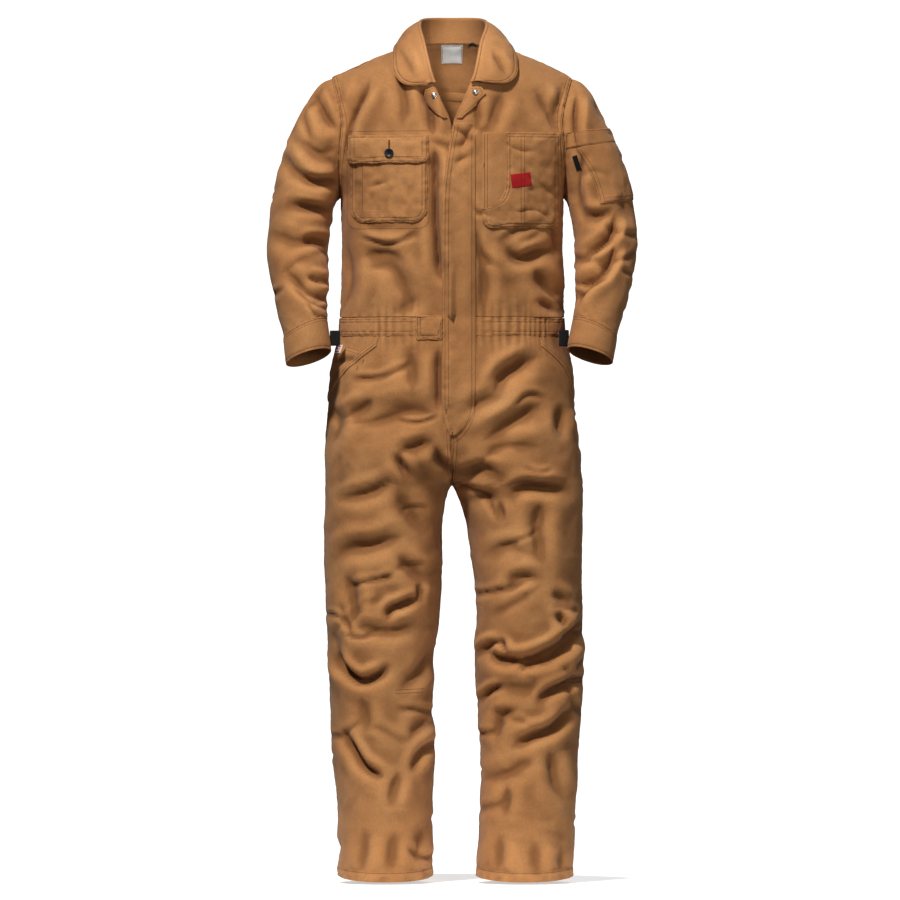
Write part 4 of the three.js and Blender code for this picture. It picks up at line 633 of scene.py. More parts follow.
class Sheet:
    """Cloth as a grid: a runs along its first direction and b along its second."""

    def __init__(self, a, b, base, normal):
        self.a, self.b, self.base, self.normal = a, b, base, normal
        self.height = np.zeros(base.shape[:-1])
        self.settle()

    def settle(self, more=0.0):
        """Add to the height, and work the points and their normals out again."""
        self.height = self.height + more
        self.points = self.base + self.normal * self.height[..., None]
        self.out = grid_normals(self.points, self.normal)
        return self

    def crumple(self, amount=1.0):
        p = self.base
        sway = 2.0 * noise(p, 130, 1) + 3.5 * facets(p, 96, 40) + 0.8 * facets(p, 40, 50)
        return self.settle(amount * (sway + 0.3 * noise(p, 27, 3) + 0.15 * noise(p, 11, 4)))

    def ease(self, axis, low, reach, where=1.0):
        """Bring the height to nought toward one edge, where asked."""
        keep = smooth(0, reach, edge_distance(self.base, axis, low))
        self.height = self.height * (1 - where * (1 - keep))
        return self.settle()

    def fold(self, group):
        front = smooth(-0.25, 0.35, -self.normal[..., 1])
        return self.settle(front * folds(self.base, group + "F")
                           + (1 - front) * folds(self.base, group + "B"))

    def seam(self, kind, axis, low):
        return self.settle(kind(edge_distance(self.base, axis, low), self.base))

    def read(self, a, b, grid):
        a, b = np.broadcast_arrays(np.asarray(a, float), np.asarray(b, float))
        i = np.clip(np.searchsorted(self.a, a) - 1, 0, len(self.a) - 2)
        j = np.clip(np.searchsorted(self.b, b) - 1, 0, len(self.b) - 2)
        u = ((a - self.a[i]) / (self.a[i + 1] - self.a[i]))[..., None]
        v = ((b - self.b[j]) / (self.b[j + 1] - self.b[j]))[..., None]
        return ((1 - u) * (1 - v) * grid[i, j] + u * (1 - v) * grid[i + 1, j]
                + (1 - u) * v * grid[i, j + 1] + u * v * grid[i + 1, j + 1])

    def at(self, a, b, lift=0.0):
        """Points and normals on the finished cloth."""
        n = self.read(a, b, self.out)
        n = n / np.linalg.norm(n, axis=-1, keepdims=True)
        return self.read(a, b, self.points) + n * lift, n

    def inset(self, axis, low, distance, start=0.0, end=1.0):
        """Points and normals of a line at a distance inside one edge."""
        away = edge_distance(self.base, axis, low)
        away = away.T if axis == 0 else away
        key, other = (self.a, self.b) if axis == 0 else (self.b, self.a)
        way = slice(None, None, 1 if low else -1)
        at = np.array([np.interp(distance, row[way], key[way]) for row in away])
        share = (other - other[0]) / (other[-1] - other[0])
        keep = (share >= start) & (share <= end)
        return self.at(at[keep], other[keep]) if axis == 0 else self.at(other[keep], at[keep])

    def size(self):
        """The cut, flat: width and length in metres, and the area in square metres."""
        wide = np.linalg.norm(np.diff(self.base, axis=0), axis=-1).sum(0).max() * MM
        high = np.linalg.norm(np.diff(self.base, axis=1), axis=-1).sum(1).max() * MM
        p = self.base * MM
        area = np.linalg.norm(np.cross(p[1:, 1:] - p[:-1, :-1], p[1:, :-1] - p[:-1, 1:]), axis=-1).sum() / 2
        return wide, high, area


def on_skin(skin, a, b, outward):
    """A sheet on a skin. Its normals come from the skin itself, past its edges too, so that
    neighbours agree at a seam."""
    grid = np.meshgrid(a, b, indexing="ij")
    base = skin(*grid)
    small_a, small_b = (a[-1] - a[0]) * 1e-3, (b[-1] - b[0]) * 1e-3
    inward_a = np.clip(grid[0], a[0] + small_a, a[-1] - small_a)
    inward_b = np.clip(grid[1], b[0] + small_b, b[-1] - small_b)
    n = np.cross(skin(inward_a + small_a, inward_b) - skin(inward_a - small_a, inward_b),
                 skin(inward_a, inward_b + small_b) - skin(inward_a, inward_b - small_b))
    n /= np.linalg.norm(n, axis=-1, keepdims=True) + 1e-12
    if (n * outward(base)).sum() < 0:
        n = -n
    return Sheet(a, b, base, n)


# Meshes

PALETTE = {}


def make_mesh(name, vertices, faces, material, uv=None, wear_and_shade=None, angle=55):
    mesh = bpy.data.meshes.new(name)
    mesh.from_pydata((np.asarray(vertices, float) * MM).tolist(), [], [list(map(int, f)) for f in faces])
    corner = np.empty(len(mesh.loops), np.int32)
    mesh.loops.foreach_get("vertex_index", corner)
    if uv is not None:
        mesh.uv_layers.new(name="UVMap").data.foreach_set("uv", uv[corner].astype(np.float32).ravel())
    # The per-point relief tint: painted shade in creases, and paler ridges as rubbed wear with a painted
    # highlight.
    if wear_and_shade is not None:
        mesh.attributes.new("wear_and_shade", "FLOAT", "POINT").data.foreach_set("value", wear_and_shade.astype(np.float32))
    mesh.shade_smooth()
    mesh.set_sharp_from_angle(angle=math.radians(angle))
    mesh.materials.append(PALETTE[material])
    piece = bpy.data.objects.new(name, mesh)
    bpy.context.scene.collection.objects.link(piece)
    return piece


def shell_parts(outer, inner):
    """Vertices and faces of a closed shell between two grids."""
    na, nb = outer.shape[:2]
    count = na * nb
    ids = np.arange(count).reshape(na, nb)
    quads = np.stack([ids[:-1, :-1], ids[1:, :-1], ids[1:, 1:], ids[:-1, 1:]], -1).reshape(-1, 4)
    ring = np.concatenate([ids[:, 0], ids[-1, 1:], ids[-2::-1, -1], ids[0, -2:0:-1]])
    after = np.roll(ring, -1)
    rim = np.stack([after, ring, ring + count, after + count], -1)
    faces = np.concatenate([quads, quads[:, ::-1] + count, rim])
    turn = np.cross(outer[1:, :-1] - outer[:-1, :-1], outer[:-1, 1:] - outer[:-1, :-1])
    if (turn * (outer - inner)[:-1, :-1]).sum() < 0:
        faces = faces[:, ::-1]
    return np.concatenate([outer.reshape(-1, 3), inner.reshape(-1, 3)]), faces


def unit(v):
    return v / (np.linalg.norm(v, axis=-1, keepdims=True) + 1e-12)


# Materials

def linear(*rgb):
    """A colour of 0 to 255 as Blender's linear one."""
    return tuple(((c / 255 + 0.055) / 1.055) ** 2.4 if c > 10 else c / 255 / 12.92 for c in rgb) + (1.0,)


class Nodes:
    """A small helper to build a material's nodes."""

    def __init__(self, name):
        self.material = bpy.data.materials.new(name)
        self.material.use_nodes = True
        self.tree = self.material.node_tree
        self.shader = self.tree.nodes["Principled BSDF"]
        PALETTE[name] = self.material

    def add(self, kind, inputs=None, **settings):
        node = self.tree.nodes.new(kind)
        for key, value in settings.items():
            setattr(node, key, value)
        for key, value in (inputs or {}).items():
            self.feed(node.inputs[key], value)
        return node

    def feed(self, socket, value):
        if isinstance(value, bpy.types.NodeSocket):
            self.tree.links.new(value, socket)
        else:
            socket.default_value = value

    def set(self, **inputs):
        for key, value in inputs.items():
            self.feed(self.shader.inputs[key.replace("_", " ")], value)

    def noise(self, vector, scale, detail):
        return self.add("ShaderNodeTexNoise", {"Vector": vector, "Scale": scale, "Detail": detail,
                                               "Roughness": 0.6})

    def ramp(self, factor, stops):
        node = self.add("ShaderNodeValToRGB", {"Fac": factor})
        ramp = node.color_ramp
        ramp.elements[0].position, ramp.elements[0].color = stops[0]
        ramp.elements[1].position, ramp.elements[1].color = stops[-1]
        for position, color in stops[1:-1]:
            ramp.elements.new(position).color = color
        return node.outputs["Color"]

    def mix(self, blend, factor, a, b):
        node = self.add("ShaderNodeMix", data_type="RGBA", blend_type=blend)
        for index, value in ((0, factor), (6, a), (7, b)):
            self.feed(node.inputs[index], value)
        return node.outputs[2]


def woven(name, shades, period, bump, rough, sheen, with_wear_and_shade=True, slub=0.5):
    """Plain-weave cloth: mottled colour, paler on ridges (rubbed wear with a painted highlight), painted
    shade in troughs, with a woven bump.
    """
    n = Nodes(name)
    place = n.add("ShaderNodeTexCoord").outputs["Object"]
    uv = n.add("ShaderNodeUVMap", uv_map="UVMap").outputs["UV"]
    cloudy = n.noise(place, 7.0, 4.0)
    fine = n.noise(place, 260.0, 2.0)
    dark, middle, light = (linear(*shade) for shade in shades)
    base = n.ramp(cloudy.outputs["Fac"], [(0.3, dark), (0.52, middle), (0.75, light)])
    heather = n.ramp(fine.outputs["Fac"], [(0.3, (0.86, 0.85, 0.84, 1)), (0.7, (1.1, 1.1, 1.1, 1))])
    color = n.mix("MULTIPLY", slub, base, heather)
    if with_wear_and_shade:
        # Painted shade and highlight: the relief tint darkens creases as shade would and makes ridges paler,
        # partly rubbed wear and partly a painted highlight.
        wear_and_shade = n.add("ShaderNodeAttribute", attribute_name="wear_and_shade").outputs["Fac"]
        at = n.add("ShaderNodeMapRange", {"Value": wear_and_shade, "From Min": -1.0, "From Max": 1.0})
        wear_and_shade_tint = n.ramp(at.outputs["Result"], [(0.0, (0.67, 0.63, 0.59, 1)), (0.5, (1, 1, 1, 1)),
                                             (1.0, (1.22, 1.23, 1.22, 1))])
        color = n.mix("MULTIPLY", 1.0, color, wear_and_shade_tint)
    wave = {"Vector": uv, "Scale": 2 * math.pi / period / 20, "Distortion": 0.6, "Detail Scale": 3.0}
    warp, weft = (n.add("ShaderNodeTexWave", wave, bands_direction=way) for way in "XY")
    weave = n.mix("MULTIPLY", 0.7, warp.outputs["Color"], weft.outputs["Color"])
    lump = n.noise(place, 90.0, 3.0)
    weave_bump = n.add("ShaderNodeBump", {"Height": weave, "Strength": bump, "Distance": period * 0.4})
    cloth_bump = n.add("ShaderNodeBump", {"Height": lump.outputs["Fac"], "Strength": 0.35, "Distance": 0.0012,
                                          "Normal": weave_bump.outputs["Normal"]})
    n.set(Base_Color=color, Roughness=rough, Sheen_Weight=sheen, Sheen_Roughness=0.5,
          Normal=cloth_bump.outputs["Normal"])
    n.set(Specular_IOR_Level=0.2)


woven("duck", ((170, 122, 79), (182, 133, 88), (192, 144, 98)), 0.0007, 0.5, 0.88, 0.12)
woven("thread", ((52, 28, 14), (66, 38, 20), (84, 52, 30)), 0.0006, 0.4, 0.8, 0.05, with_wear_and_shade=False)
woven("black_tape", ((16, 15, 15), (26, 25, 26), (38, 36, 37)), 0.0009, 0.8, 0.8, 0.3, with_wear_and_shade=False)
for name, slub, shades in (
    ("red_label", 0.5, ((150, 26, 30), (176, 34, 38), (190, 44, 46))),
    ("white_label", 0.2, ((214, 212, 208), (232, 231, 228), (240, 240, 238))),
    ("blue_label", 0.5, ((38, 54, 110), (48, 66, 128), (60, 78, 140))),
):
    woven(name, shades, 0.0005, 0.4, 0.6, 0.2, with_wear_and_shade=False, slub=slub)


def hard(name, shades, rough, metallic=0.0):
    """Moulded or cast stuff with fine wear marks."""
    n = Nodes(name)
    place = n.add("ShaderNodeTexCoord").outputs["Object"]
    mark = n.noise(place, 300.0, 4.0).outputs["Fac"]
    n.set(Base_Color=n.ramp(mark, [(0.35, linear(*shades[0])), (0.7, linear(*shades[1]))]), Metallic=metallic)
    n.set(Roughness=n.ramp(mark, [(0.3, (rough,) * 3 + (1,)), (0.7, (rough * 1.4,) * 3 + (1,))]))


hard("navy", ((22, 25, 36), (40, 44, 58)), 0.38)
hard("dark", ((8, 8, 9), (18, 17, 18)), 0.8)
hard("metal", ((150, 148, 142), (205, 203, 196)), 0.26, 1.0)


def shell(name, outer, inner, material, uv_from=None, wear_and_shade=None):
    vertices, faces = shell_parts(outer, inner)
    base = outer if uv_from is None else uv_from
    uv = np.stack([edge_distance(base, 0, True), edge_distance(base, 1, True)], -1).reshape(-1, 2) * MM
    wear_and_shade = np.zeros(outer.shape[:2]) if wear_and_shade is None else wear_and_shade
    return make_mesh(name, vertices, faces, material, np.concatenate([uv, uv]),
                     np.concatenate([wear_and_shade.ravel(), wear_and_shade.ravel()]))


LEAST_FLAT, LEAST_AREA_SHARE = 0.01, 0.31  # metres, and a share of the flat rectangle


def declare(piece, nodes, size=None):
    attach(piece, "root")
    if nodes:
        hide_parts(*nodes)


def neighbours(grid):
    """The mean of the four neighbours of each inner point."""
    return (grid[2:, 1:-1] + grid[:-2, 1:-1] + grid[1:-1, 2:] + grid[1:-1, :-2]) / 4


def relief(sheet):
    """Sharp ridges above nought and creases below it: paler rubbed ridges with a painted highlight, and
    painted shade in the creases.
    """
    h = sheet.height
    broad = h
    for _ in range(14):
        broad = neighbours(np.pad(broad, 1, mode="edge"))
    return np.tanh((h - broad) / 1.2)


def cloth(name, sheet, nodes, thick):
    inner = sheet.points - sheet.out * thick
    # The relief tint: painted shade in the creases, paler ridges as rubbed wear with a painted highlight.
    declare(shell(name + "_cloth", sheet.points, inner, "duck", sheet.base, relief(sheet)),
            nodes, sheet.size())


# Panels above the waist

def ripples(sheet, first, last, reach=None, at_low=True, high=2.0, pitch=13.0):
    """Gathers: ripples within a range of distances from the centre, dying away from the seam."""
    middle = np.argmin(np.abs(sheet.a))
    arc = edge_distance(sheet.base, 0, True)
    arc = np.abs(arc - arc[middle])
    within = smooth(first - 6, first + 6, arc) * (1 - smooth(last - 6, last + 6, arc))
    wander = 9.0 * noise(sheet.base * (1, 1, 0.25), 34, 5)
    wave = np.sin((arc + wander) / pitch * 2 * math.pi) * (0.75 + 0.5 * noise(sheet.base, 45, 6))
    fall = 1.0
    if reach:
        fall = np.exp(-(edge_distance(sheet.base, 1, at_low) / reach) ** 1.3)
    return sheet.settle(high * within * wave * fall)


def outward_body(p):
    return p * (1, 1, 0)


def outward_up(p):
    return np.stack([0 * p[..., 0], 0.1 * p[..., 1], 0 * p[..., 2] + 1], -1) + p * (0, 0.01, 0)


GATHERS = {"frontR": (53, 138), "frontL": (36, 178), "back": (0, 235)}
S = {}
for side, name in SIDE_NAME.items():
    front = on_skin(front_skin(side), spread(0.003, 1, 78), spread(0.02, 12.99, 170, 0.3), outward_body)
    front.fold("body").crumple()
    front.ease(0, False, 22, smooth(3.2, 4.2, front.b)[None])
    ripples(front, *GATHERS["frontR" if side < 0 else "frontL"], reach=22, high=1.5)
    for kind, axis, low in ((plain, 0, True), (lap, 0, False), (plain, 1, True), (under, 1, False)):
        front.seam(kind, axis, low)
    S["front_" + name] = front

back = on_skin(back_skin, spread(-1, 1, 150), spread(0.02, 6.99, 110), outward_body)
back.fold("body").crumple()
for low in (True, False):
    back.ease(0, low, 22, smooth(3.2, 4.2, back.b)[None])
ripples(back, *GATHERS["back"], reach=26, high=1.9)
for kind, axis, low in ((under, 0, True), (under, 0, False), (plain, 1, True), (under, 1, False)):
    back.seam(kind, axis, low)
S["back"] = back

yoke = on_skin(yoke_skin, spread(-1, 1, 150, 0.3), spread(0, 0.995, 40), outward_up)
yoke.crumple(0.6).ease(0, True, 22).ease(0, False, 22)
for kind, axis, low in ((lap, 0, True), (lap, 0, False), (lap, 1, True), (lap, 1, False)):
    yoke.seam(kind, axis, low)
S["yoke"] = yoke

# Sleeves and cuffs, each rolled from one piece with its seam below the arm

def outward_arm(p):
    return p - (p[0] + p[p.shape[0] // 2]) / 2


for side, name in SIDE_NAME.items():
    round_arm = np.linspace(0.0005, 0.9995, 130)
    sleeve = on_skin(sleeve_skin(side), round_arm, spread(0.02, CUFF_RING - 0.01, 130, 0.25), outward_arm)
    sleeve.fold("slv").crumple().ease(1, True, 22)
    for kind, axis, low in ((under, 0, True), (lap, 0, False), (under, 1, True), (plain, 1, False)):
        sleeve.seam(kind, axis, low)
    S["sleeve_" + name] = sleeve
    cuff = on_skin(sleeve_skin(side), round_arm, spread(CUFF_RING, LAST_RING, 20, 0.7), outward_arm)
    cuff.crumple(0.6).settle(1.3)
    away = np.minimum(edge_distance(cuff.base, 1, True), edge_distance(cuff.base, 1, False))
    cuff.settle(-0.9 * (1 - smooth(0, 2.5, away)) + 0.35 * np.cos(np.clip(away, 0, 8) / 8 * 2 * math.pi)
                + puckers(away, cuff.base, 9, 0.5, 8.0))
    S["cuff_" + name] = cuff

# Legs and waistband

for side, name in SIDE_NAME.items():
    for face, label in ((FRONT, "front"), (BACK, "back")):
        across, down = (88, 250) if face == FRONT else (72, 204)
        leg = on_skin(leg_skin(side, face), spread(0.0006, 1, across),
                      spread(WAIST_BOTTOM + 0.15, HEM, down, 0.2), lambda p, face=face: 0 * p + (0, face, 0))
        leg.fold("leg").crumple(1.1)
        key = "back" if face == BACK else "frontR" if side < 0 else "frontL"
        ripples(leg, *GATHERS[key], reach=20, high=1.4)
        sides = ((under, 0, True), (lap, 0, False)) if face == BACK else ((lap, 0, True), (under, 0, False))
        for kind, axis, low in (*sides, (plain, 1, True), (hemmed, 1, False)):
            leg.seam(kind, axis, low)
        S[f"leg_{label}_{name}"] = leg


def band(skin, a, gathers, outward):
    sheet = on_skin(skin, a, spread(0.004, 0.996, 22, 0.6), outward)
    sheet.crumple(0.6).settle(1.2)
    ripples(sheet, *gathers, high=1.3)
    away = np.minimum(edge_distance(sheet.base, 1, True), edge_distance(sheet.base, 1, False))
    return sheet.settle(-1.0 * (1 - smooth(0, 2.5, away)) + puckers(away, sheet.base, 12, 0.9, 7.0)
                        - 0.5 * np.exp(-((away - 3) / 1.2) ** 2) - 0.5 * np.exp(-((away - 8) / 1.2) ** 2))


for side, name in SIDE_NAME.items():
    S["waistband_front_" + name] = band(waist_skin(side, FRONT), spread(0.002, 0.9995, 150, 0.1),
                                        GATHERS["frontR" if side < 0 else "frontL"], outward_body)


def waist_back(s, t):
    right, left = waist_skin(RIGHT, BACK)(np.abs(s), t), waist_skin(LEFT, BACK)(np.abs(s), t)
    return np.where((s < 0)[..., None], right, left)


S["waistband_back"] = band(waist_back, spread(-0.9995, 0.9995, 290, 0.1), GATHERS["back"], outward_body)


# Casting from the front onto what is already there

class Ground:
    """The surfaces that later pieces lie on."""

    def __init__(self):
        self.vertices, self.faces, self.count, self.tree = [], [], 0, None

    def add(self, *grids):
        for grid in grids:
            vertices, faces = shell_parts(grid, grid - (0, 0, 0.01))
            na, nb = grid.shape[:2]
            quads = faces[:(na - 1) * (nb - 1)]
            self.vertices.append(grid.reshape(-1, 3))
            self.faces.append(quads + self.count)
            self.count += na * nb
        self.tree = BVHTree.FromPolygons(np.concatenate(self.vertices).tolist(),
                                         np.concatenate(self.faces).tolist())

    def cast(self, x, z):
        """Points where rays from the front meet the cloth, and the normals there."""
        x, z = np.broadcast_arrays(np.asarray(x, float), np.asarray(z, float))
        points, normals = np.empty((*x.shape, 3)), np.empty((*x.shape, 3))
        last = Vector((0, -100, 0))
        for i in np.ndindex(x.shape):
            hit, normal, _, _ = self.tree.ray_cast(Vector((x[i], -600, z[i])), Vector((0, 1, 0)))
            if hit is None or hit.y > last.y + 60:
                hit, normal = Vector((x[i], last.y, z[i])), Vector((0, -1, 0))
            last = hit
            points[i] = hit
            normals[i] = normal if normal.y < 0 else -normal
        return points, normals


ground = Ground()
ground.add(*(S[n].points for n in (
    "front_right", "front_left", "yoke", "waistband_front_right", "waistband_front_left",
    "leg_front_right", "leg_front_left", "sleeve_right", "sleeve_left", "cuff_right", "cuff_left")))


def laid(a, b, x, z, thick=1.6, round_=1.8, swell=0.0, swell_cell=22.0, smoothing=2, rows=()):
    """A patch cast onto the cloth at the x and z of its grid, with rounded edges and a slight swell."""
    points, _ = ground.cast(x, z)
    for _ in range(smoothing):
        middle, around = points[1:-1, 1:-1], neighbours(points)
        middle[..., 1] = np.minimum(middle[..., 1] * 0.5 + around[..., 1] * 0.5, middle[..., 1] + 0.2)
    normal = grid_normals(points)
    normal = np.where(normal[..., 1:2] > 0, -normal, normal)
    sheet = Sheet(a, b, points, normal)
    away = border_distance(points)
    uneven = 0.6 + 0.7 * noise(points, swell_cell, 11) + 0.4 * noise(points, 11, 12)
    edge = puckers(away, points, 14, 0.9 if rows else 0.0, 7.0) - grooves(away, rows)
    return sheet.settle(thick * rounded(away, round_) + swell * smooth(0, 14, away) * uneven + edge)


def rounded(away, round_):
    """The share of its thickness that a patch has at a distance from its rounded edge."""
    return 0.3 + 0.7 * np.sqrt(np.clip(1 - (1 - np.clip(away / round_, 0, 1)) ** 2, 0, 1))


def border_distance(points):
    return np.minimum.reduce([edge_distance(points, axis, low) for axis in (0, 1) for low in (True, False)])


def patch_grid(left, right, top, foot, round_, step=2.2):
    """x and z of a patch with rounded foot corners. left and right give x at a height."""
    high = top - foot
    b = bordered(max(3, round(high / step)), high)
    z = foot + high * b
    if round_ > 2:
        corner = np.array([foot + round_ * f for f in (0.02, 0.08, 0.18, 0.3, 0.45, 0.65, 0.85)])
        z = np.concatenate([z, corner])
    z = np.unique(z)
    above = np.clip(z - foot, 0, round_)
    inset = round_ - np.sqrt(np.maximum(0, round_ ** 2 - (round_ - above) ** 2))
    x0 = np.array([left(v) for v in z]) + inset
    x1 = np.array([right(v) for v in z]) - inset
    wide = float(np.max(x1 - x0))
    a = bordered(max(3, round(wide / step)), wide)
    return a, z, x0[None] + (x1 - x0)[None] * a[:, None], np.broadcast_to(z[None], (len(a), len(z)))

# Stitches: short raised threads along a line, gathered by region

STITCH, PITCH, THREAD = 2.7, 3.2, 0.62
SEWN = {}


def sew(region, points, normals, stitch=STITCH, pitch=PITCH, wide=THREAD, lift=0.0):
    along_line = lengths_along(points)
    total = along_line[-1]
    if total < pitch:
        return
    starts = np.arange((total % pitch) / 2, total - stitch, pitch)

    def read(values, at):
        return np.stack([np.interp(at, along_line, values[:, k]) for k in range(3)], -1)
    first, last = read(points, starts), read(points, starts + stitch)
    up = read(normals, starts + stitch / 2)
    up /= np.linalg.norm(up, axis=-1, keepdims=True)
    run = last - first
    run /= np.linalg.norm(run, axis=-1, keepdims=True) + 1e-9
    across = np.cross(up, run) * wide
    low, high = up * (lift - 0.35), up * (lift + 0.4)
    SEWN.setdefault(region, []).append(np.stack([
        first - across + low, first + across + low, last + across + low, last - across + low,
        first + run * 0.45 + high, last - run * 0.45 + high], 1))


STITCH_FACES = ((0, 1, 4), (1, 2, 5), (1, 5, 4), (2, 3, 5), (3, 0, 4), (3, 4, 5), (0, 3, 2), (0, 2, 1))


def sew_front(region, path, smooth_path=False, **more):
    """Stitches along a path of x and z, cast onto the front."""
    path = curved(path, 8) if smooth_path else np.array(path, float)
    length = lengths_along(path)
    at = np.arange(0, length[-1], 1.4)
    x, z = (np.interp(at, length, path[:, k]) for k in (0, 1))
    sew(region, *ground.cast(x, z), **more)


def sew_edge(region, sheet, axis, low, distances, start=0.0, end=1.0):
    for distance in distances:
        sew(region, *sheet.inset(axis, low, distance, start, end))


BARTACK_RUN, BARTACK_LENGTH = np.array([0.2, 1.0]) / math.hypot(0.2, 1), 7.0


def bartack(region, x, z):
    """A short dense bar of thread across the end of an opening."""
    run = BARTACK_RUN
    for k in np.linspace(-0.5, 0.5, 9):
        middle = np.array([x, z]) + run * k * BARTACK_LENGTH
        ends = [middle - run[::-1] * (-1.3, 1.3), middle + run[::-1] * (-1.3, 1.3)]
        line = np.linspace(ends[0], ends[1], 3)
        sew(region, *ground.cast(line[:, 0], line[:, 1]), stitch=2.4, pitch=2.5, wide=0.38)


# Collar: up from the neck, over the roll and down the leaf
COLLAR_END, ROLL_RADIUS, LEAF_SWELL = 12, 3.0, 5.5
u = spread(0.0, COLLAR_END, 180, 0.12)[:, None]
roll, leaf_edge, neck = (t.point(u) for t in (COLLAR_ROLL, COLLAR_EDGE, COLLAR_NECK))
over = unit((leaf_edge - roll) * (1, 1, 0))
up = unit(roll - leaf_edge) + unit(roll - neck)
up = unit(up - over * (up * over).sum(-1, keepdims=True))
share = np.linspace(0, 1, 15)[None, :, None]
stand = neck + (roll - neck) * share - over * (0.6 + (ROLL_RADIUS - 0.6) * share)
turn = np.linspace(0, math.pi, 9)[None, 1:-1, None]
top = roll + ROLL_RADIUS * (up * np.sin(turn) - over * np.cos(turn))
share = spread(0, 1, 36, 0.3)[None, :, None]
from_roll = roll + over * ROLL_RADIUS
leaf_out = unit((roll + leaf_edge) * (1, 1, 0) + (0, 0, 90))
leaf = from_roll + (leaf_edge - from_roll) * share + leaf_out * LEAF_SWELL * np.sin(math.pi * share ** 0.7)
collar_base = np.concatenate([stand, top, leaf], 1)
collar_b = np.concatenate([np.linspace(0, 1, 15), 1 + turn.ravel() / math.pi, 2 + share.ravel()])
collar_normal = grid_normals(collar_base)
if (collar_normal[:, -20:] * leaf_out).sum() < 0:
    collar_normal = -collar_normal
collar = Sheet(u.ravel(), collar_b, collar_base, collar_normal)
on_leaf = smooth(2.05, 2.3, collar_b)[None, :]
near_edge = np.minimum.reduce([edge_distance(collar_base, axis, low)
                               for axis, low in ((1, False), (0, True), (0, False))])
on_top = (folds(collar_base, "colF") + 1.1 * noise(collar_base, 30, 3) + 0.5 * noise(collar_base, 12, 4)
          - 0.7 * np.exp(-((near_edge - 8) / 1.5) ** 2))
collar.settle(on_leaf * on_top + puckers(near_edge, collar_base, 9, 0.6))
cloth("collar", collar, ["collar", "collar_stand"], 2.0)
for line in (collar.inset(1, False, 8, 0.035, 0.965), collar.inset(1, False, 2.4, 0.01, 0.99)):
    sew("stitches_collar", *line)

# Panels

for key, sheet in S.items():
    cloth(key, sheet, [key], 2.0 if "cuff" in key or "band" in key else CLOTH)

# Seam allowances, felled behind each seam from one side to the other

SEAM_WIDE, SEAM_BEHIND, SEAM_THICK = 7.0, 1.7, 0.8


def seam_line(parts, distance):
    """Points and normals at a distance inside a run of edges. A part is a sheet, its axis and which
    edge, then where to start and end along it, and whether it runs backward."""
    points, normals = [], []
    for sheet, axis, low, *more in parts:
        start, end, backward = *more, *(0, 1, False)[len(more):]
        p, n = sheet.inset(axis, low, distance, start, end)
        points.append(p[::-1] if backward else p)
        normals.append(n[::-1] if backward else n)
    return np.concatenate(points), np.concatenate(normals)


def spaced(points, values, count):
    at = lengths_along(points)
    return np.stack([np.interp(np.linspace(0, at[-1], count), at, values[:, k]) for k in range(3)], -1)


def felled(name, one, other):
    total = lengths_along(seam_line(one, 0.0)[0])[-1]
    count = max(8, round(total / 5))
    rows = []
    for parts, distance in ((one, SEAM_WIDE), (one, 0.0), (other, 0.0), (other, SEAM_WIDE)):
        p, n = seam_line(parts, distance)
        rows.append((spaced(p, p, count), unit(spaced(p, n, count))))
    (p0, n0), (p1, n1), (p2, n2), (p3, n3) = rows
    middle_n = unit(n1 + n2)
    middle = (p1 + p2) / 2 - middle_n * (SEAM_BEHIND + 0.7)
    grid = np.stack([p0 - n0 * SEAM_BEHIND, middle, p3 - n3 * SEAM_BEHIND])
    normals = np.stack([n0, middle_n, n3])
    piece = shell(f"seam_{name}", grid, grid - normals * SEAM_THICK, "duck")
    _, high, area = Sheet(np.arange(3.0), np.arange(float(count)), grid, normals).size()
    declare(piece, [], (max(LEAST_FLAT, area / high), high, area))


band_back = S["waistband_back"]
for side, name in SIDE_NAME.items():
    own_edge = side < 0
    front, sleeve, cuff = S["front_" + name], S["sleeve_" + name], S["cuff_" + name]
    waist, leg, leg_back = S["waistband_front_" + name], S["leg_front_" + name], S["leg_back_" + name]
    shoulder, half = ((0, 0.29), (0, 0.5)) if side < 0 else ((0.71, 1), (0.5, 1))
    for seam, one, other in (
        ("armhole_front", [(front, 0, False, 0.308)], [(sleeve, 1, True, 0, 0.5)]),
        ("armhole_back", [(yoke, 0, own_edge, 0, 1, True), (back, 0, own_edge, 0.572, 1, True)],
         [(sleeve, 1, True, 0.5)]),
        ("side", [(front, 0, False, 0, 0.308)], [(back, 0, own_edge, 0, 0.572)]),
        ("shoulder", [(front, 1, False)], [(yoke, 1, False, *shoulder, own_edge)]),
        ("sleeve", [(sleeve, 0, True)], [(sleeve, 0, False)]),
        ("cuff", [(sleeve, 1, False)], [(cuff, 1, True)]),
        ("cuff_end", [(cuff, 0, True)], [(cuff, 0, False)]),
        ("waist_over", [(front, 1, True)], [(waist, 1, False)]),
        ("waist_under", [(leg, 1, True)], [(waist, 1, True)]),
        ("waist_back", [(leg_back, 1, True, 0, 1, own_edge)], [(band_back, 1, True, *half)]),
        ("outer_leg", [(leg, 0, False)], [(leg_back, 0, False)]),
        ("inner_leg", [(leg, 0, True, 0.285)], [(leg_back, 0, True, 0.285)]),
        ("waist_side", [(waist, 0, False)], [(band_back, 0, own_edge)]),
    ):
        felled(f"{seam}_{name}", one, other)
felled("yoke", [(back, 1, False)], [(yoke, 1, True)])
felled("waist_over_back", [(back, 1, True)], [(band_back, 1, False)])
for seam, key, end in (("centre_front", "leg_front", 0.276), ("centre_back", "leg_back", 0.276),
                       ("waist_centre", "waistband_front", 1), ("front_centre", "front", 0.52)):
    felled(seam, *([(S[f"{key}_{name}"], 0, True, 0, end)] for name in ("right", "left")))

# Placket and fly

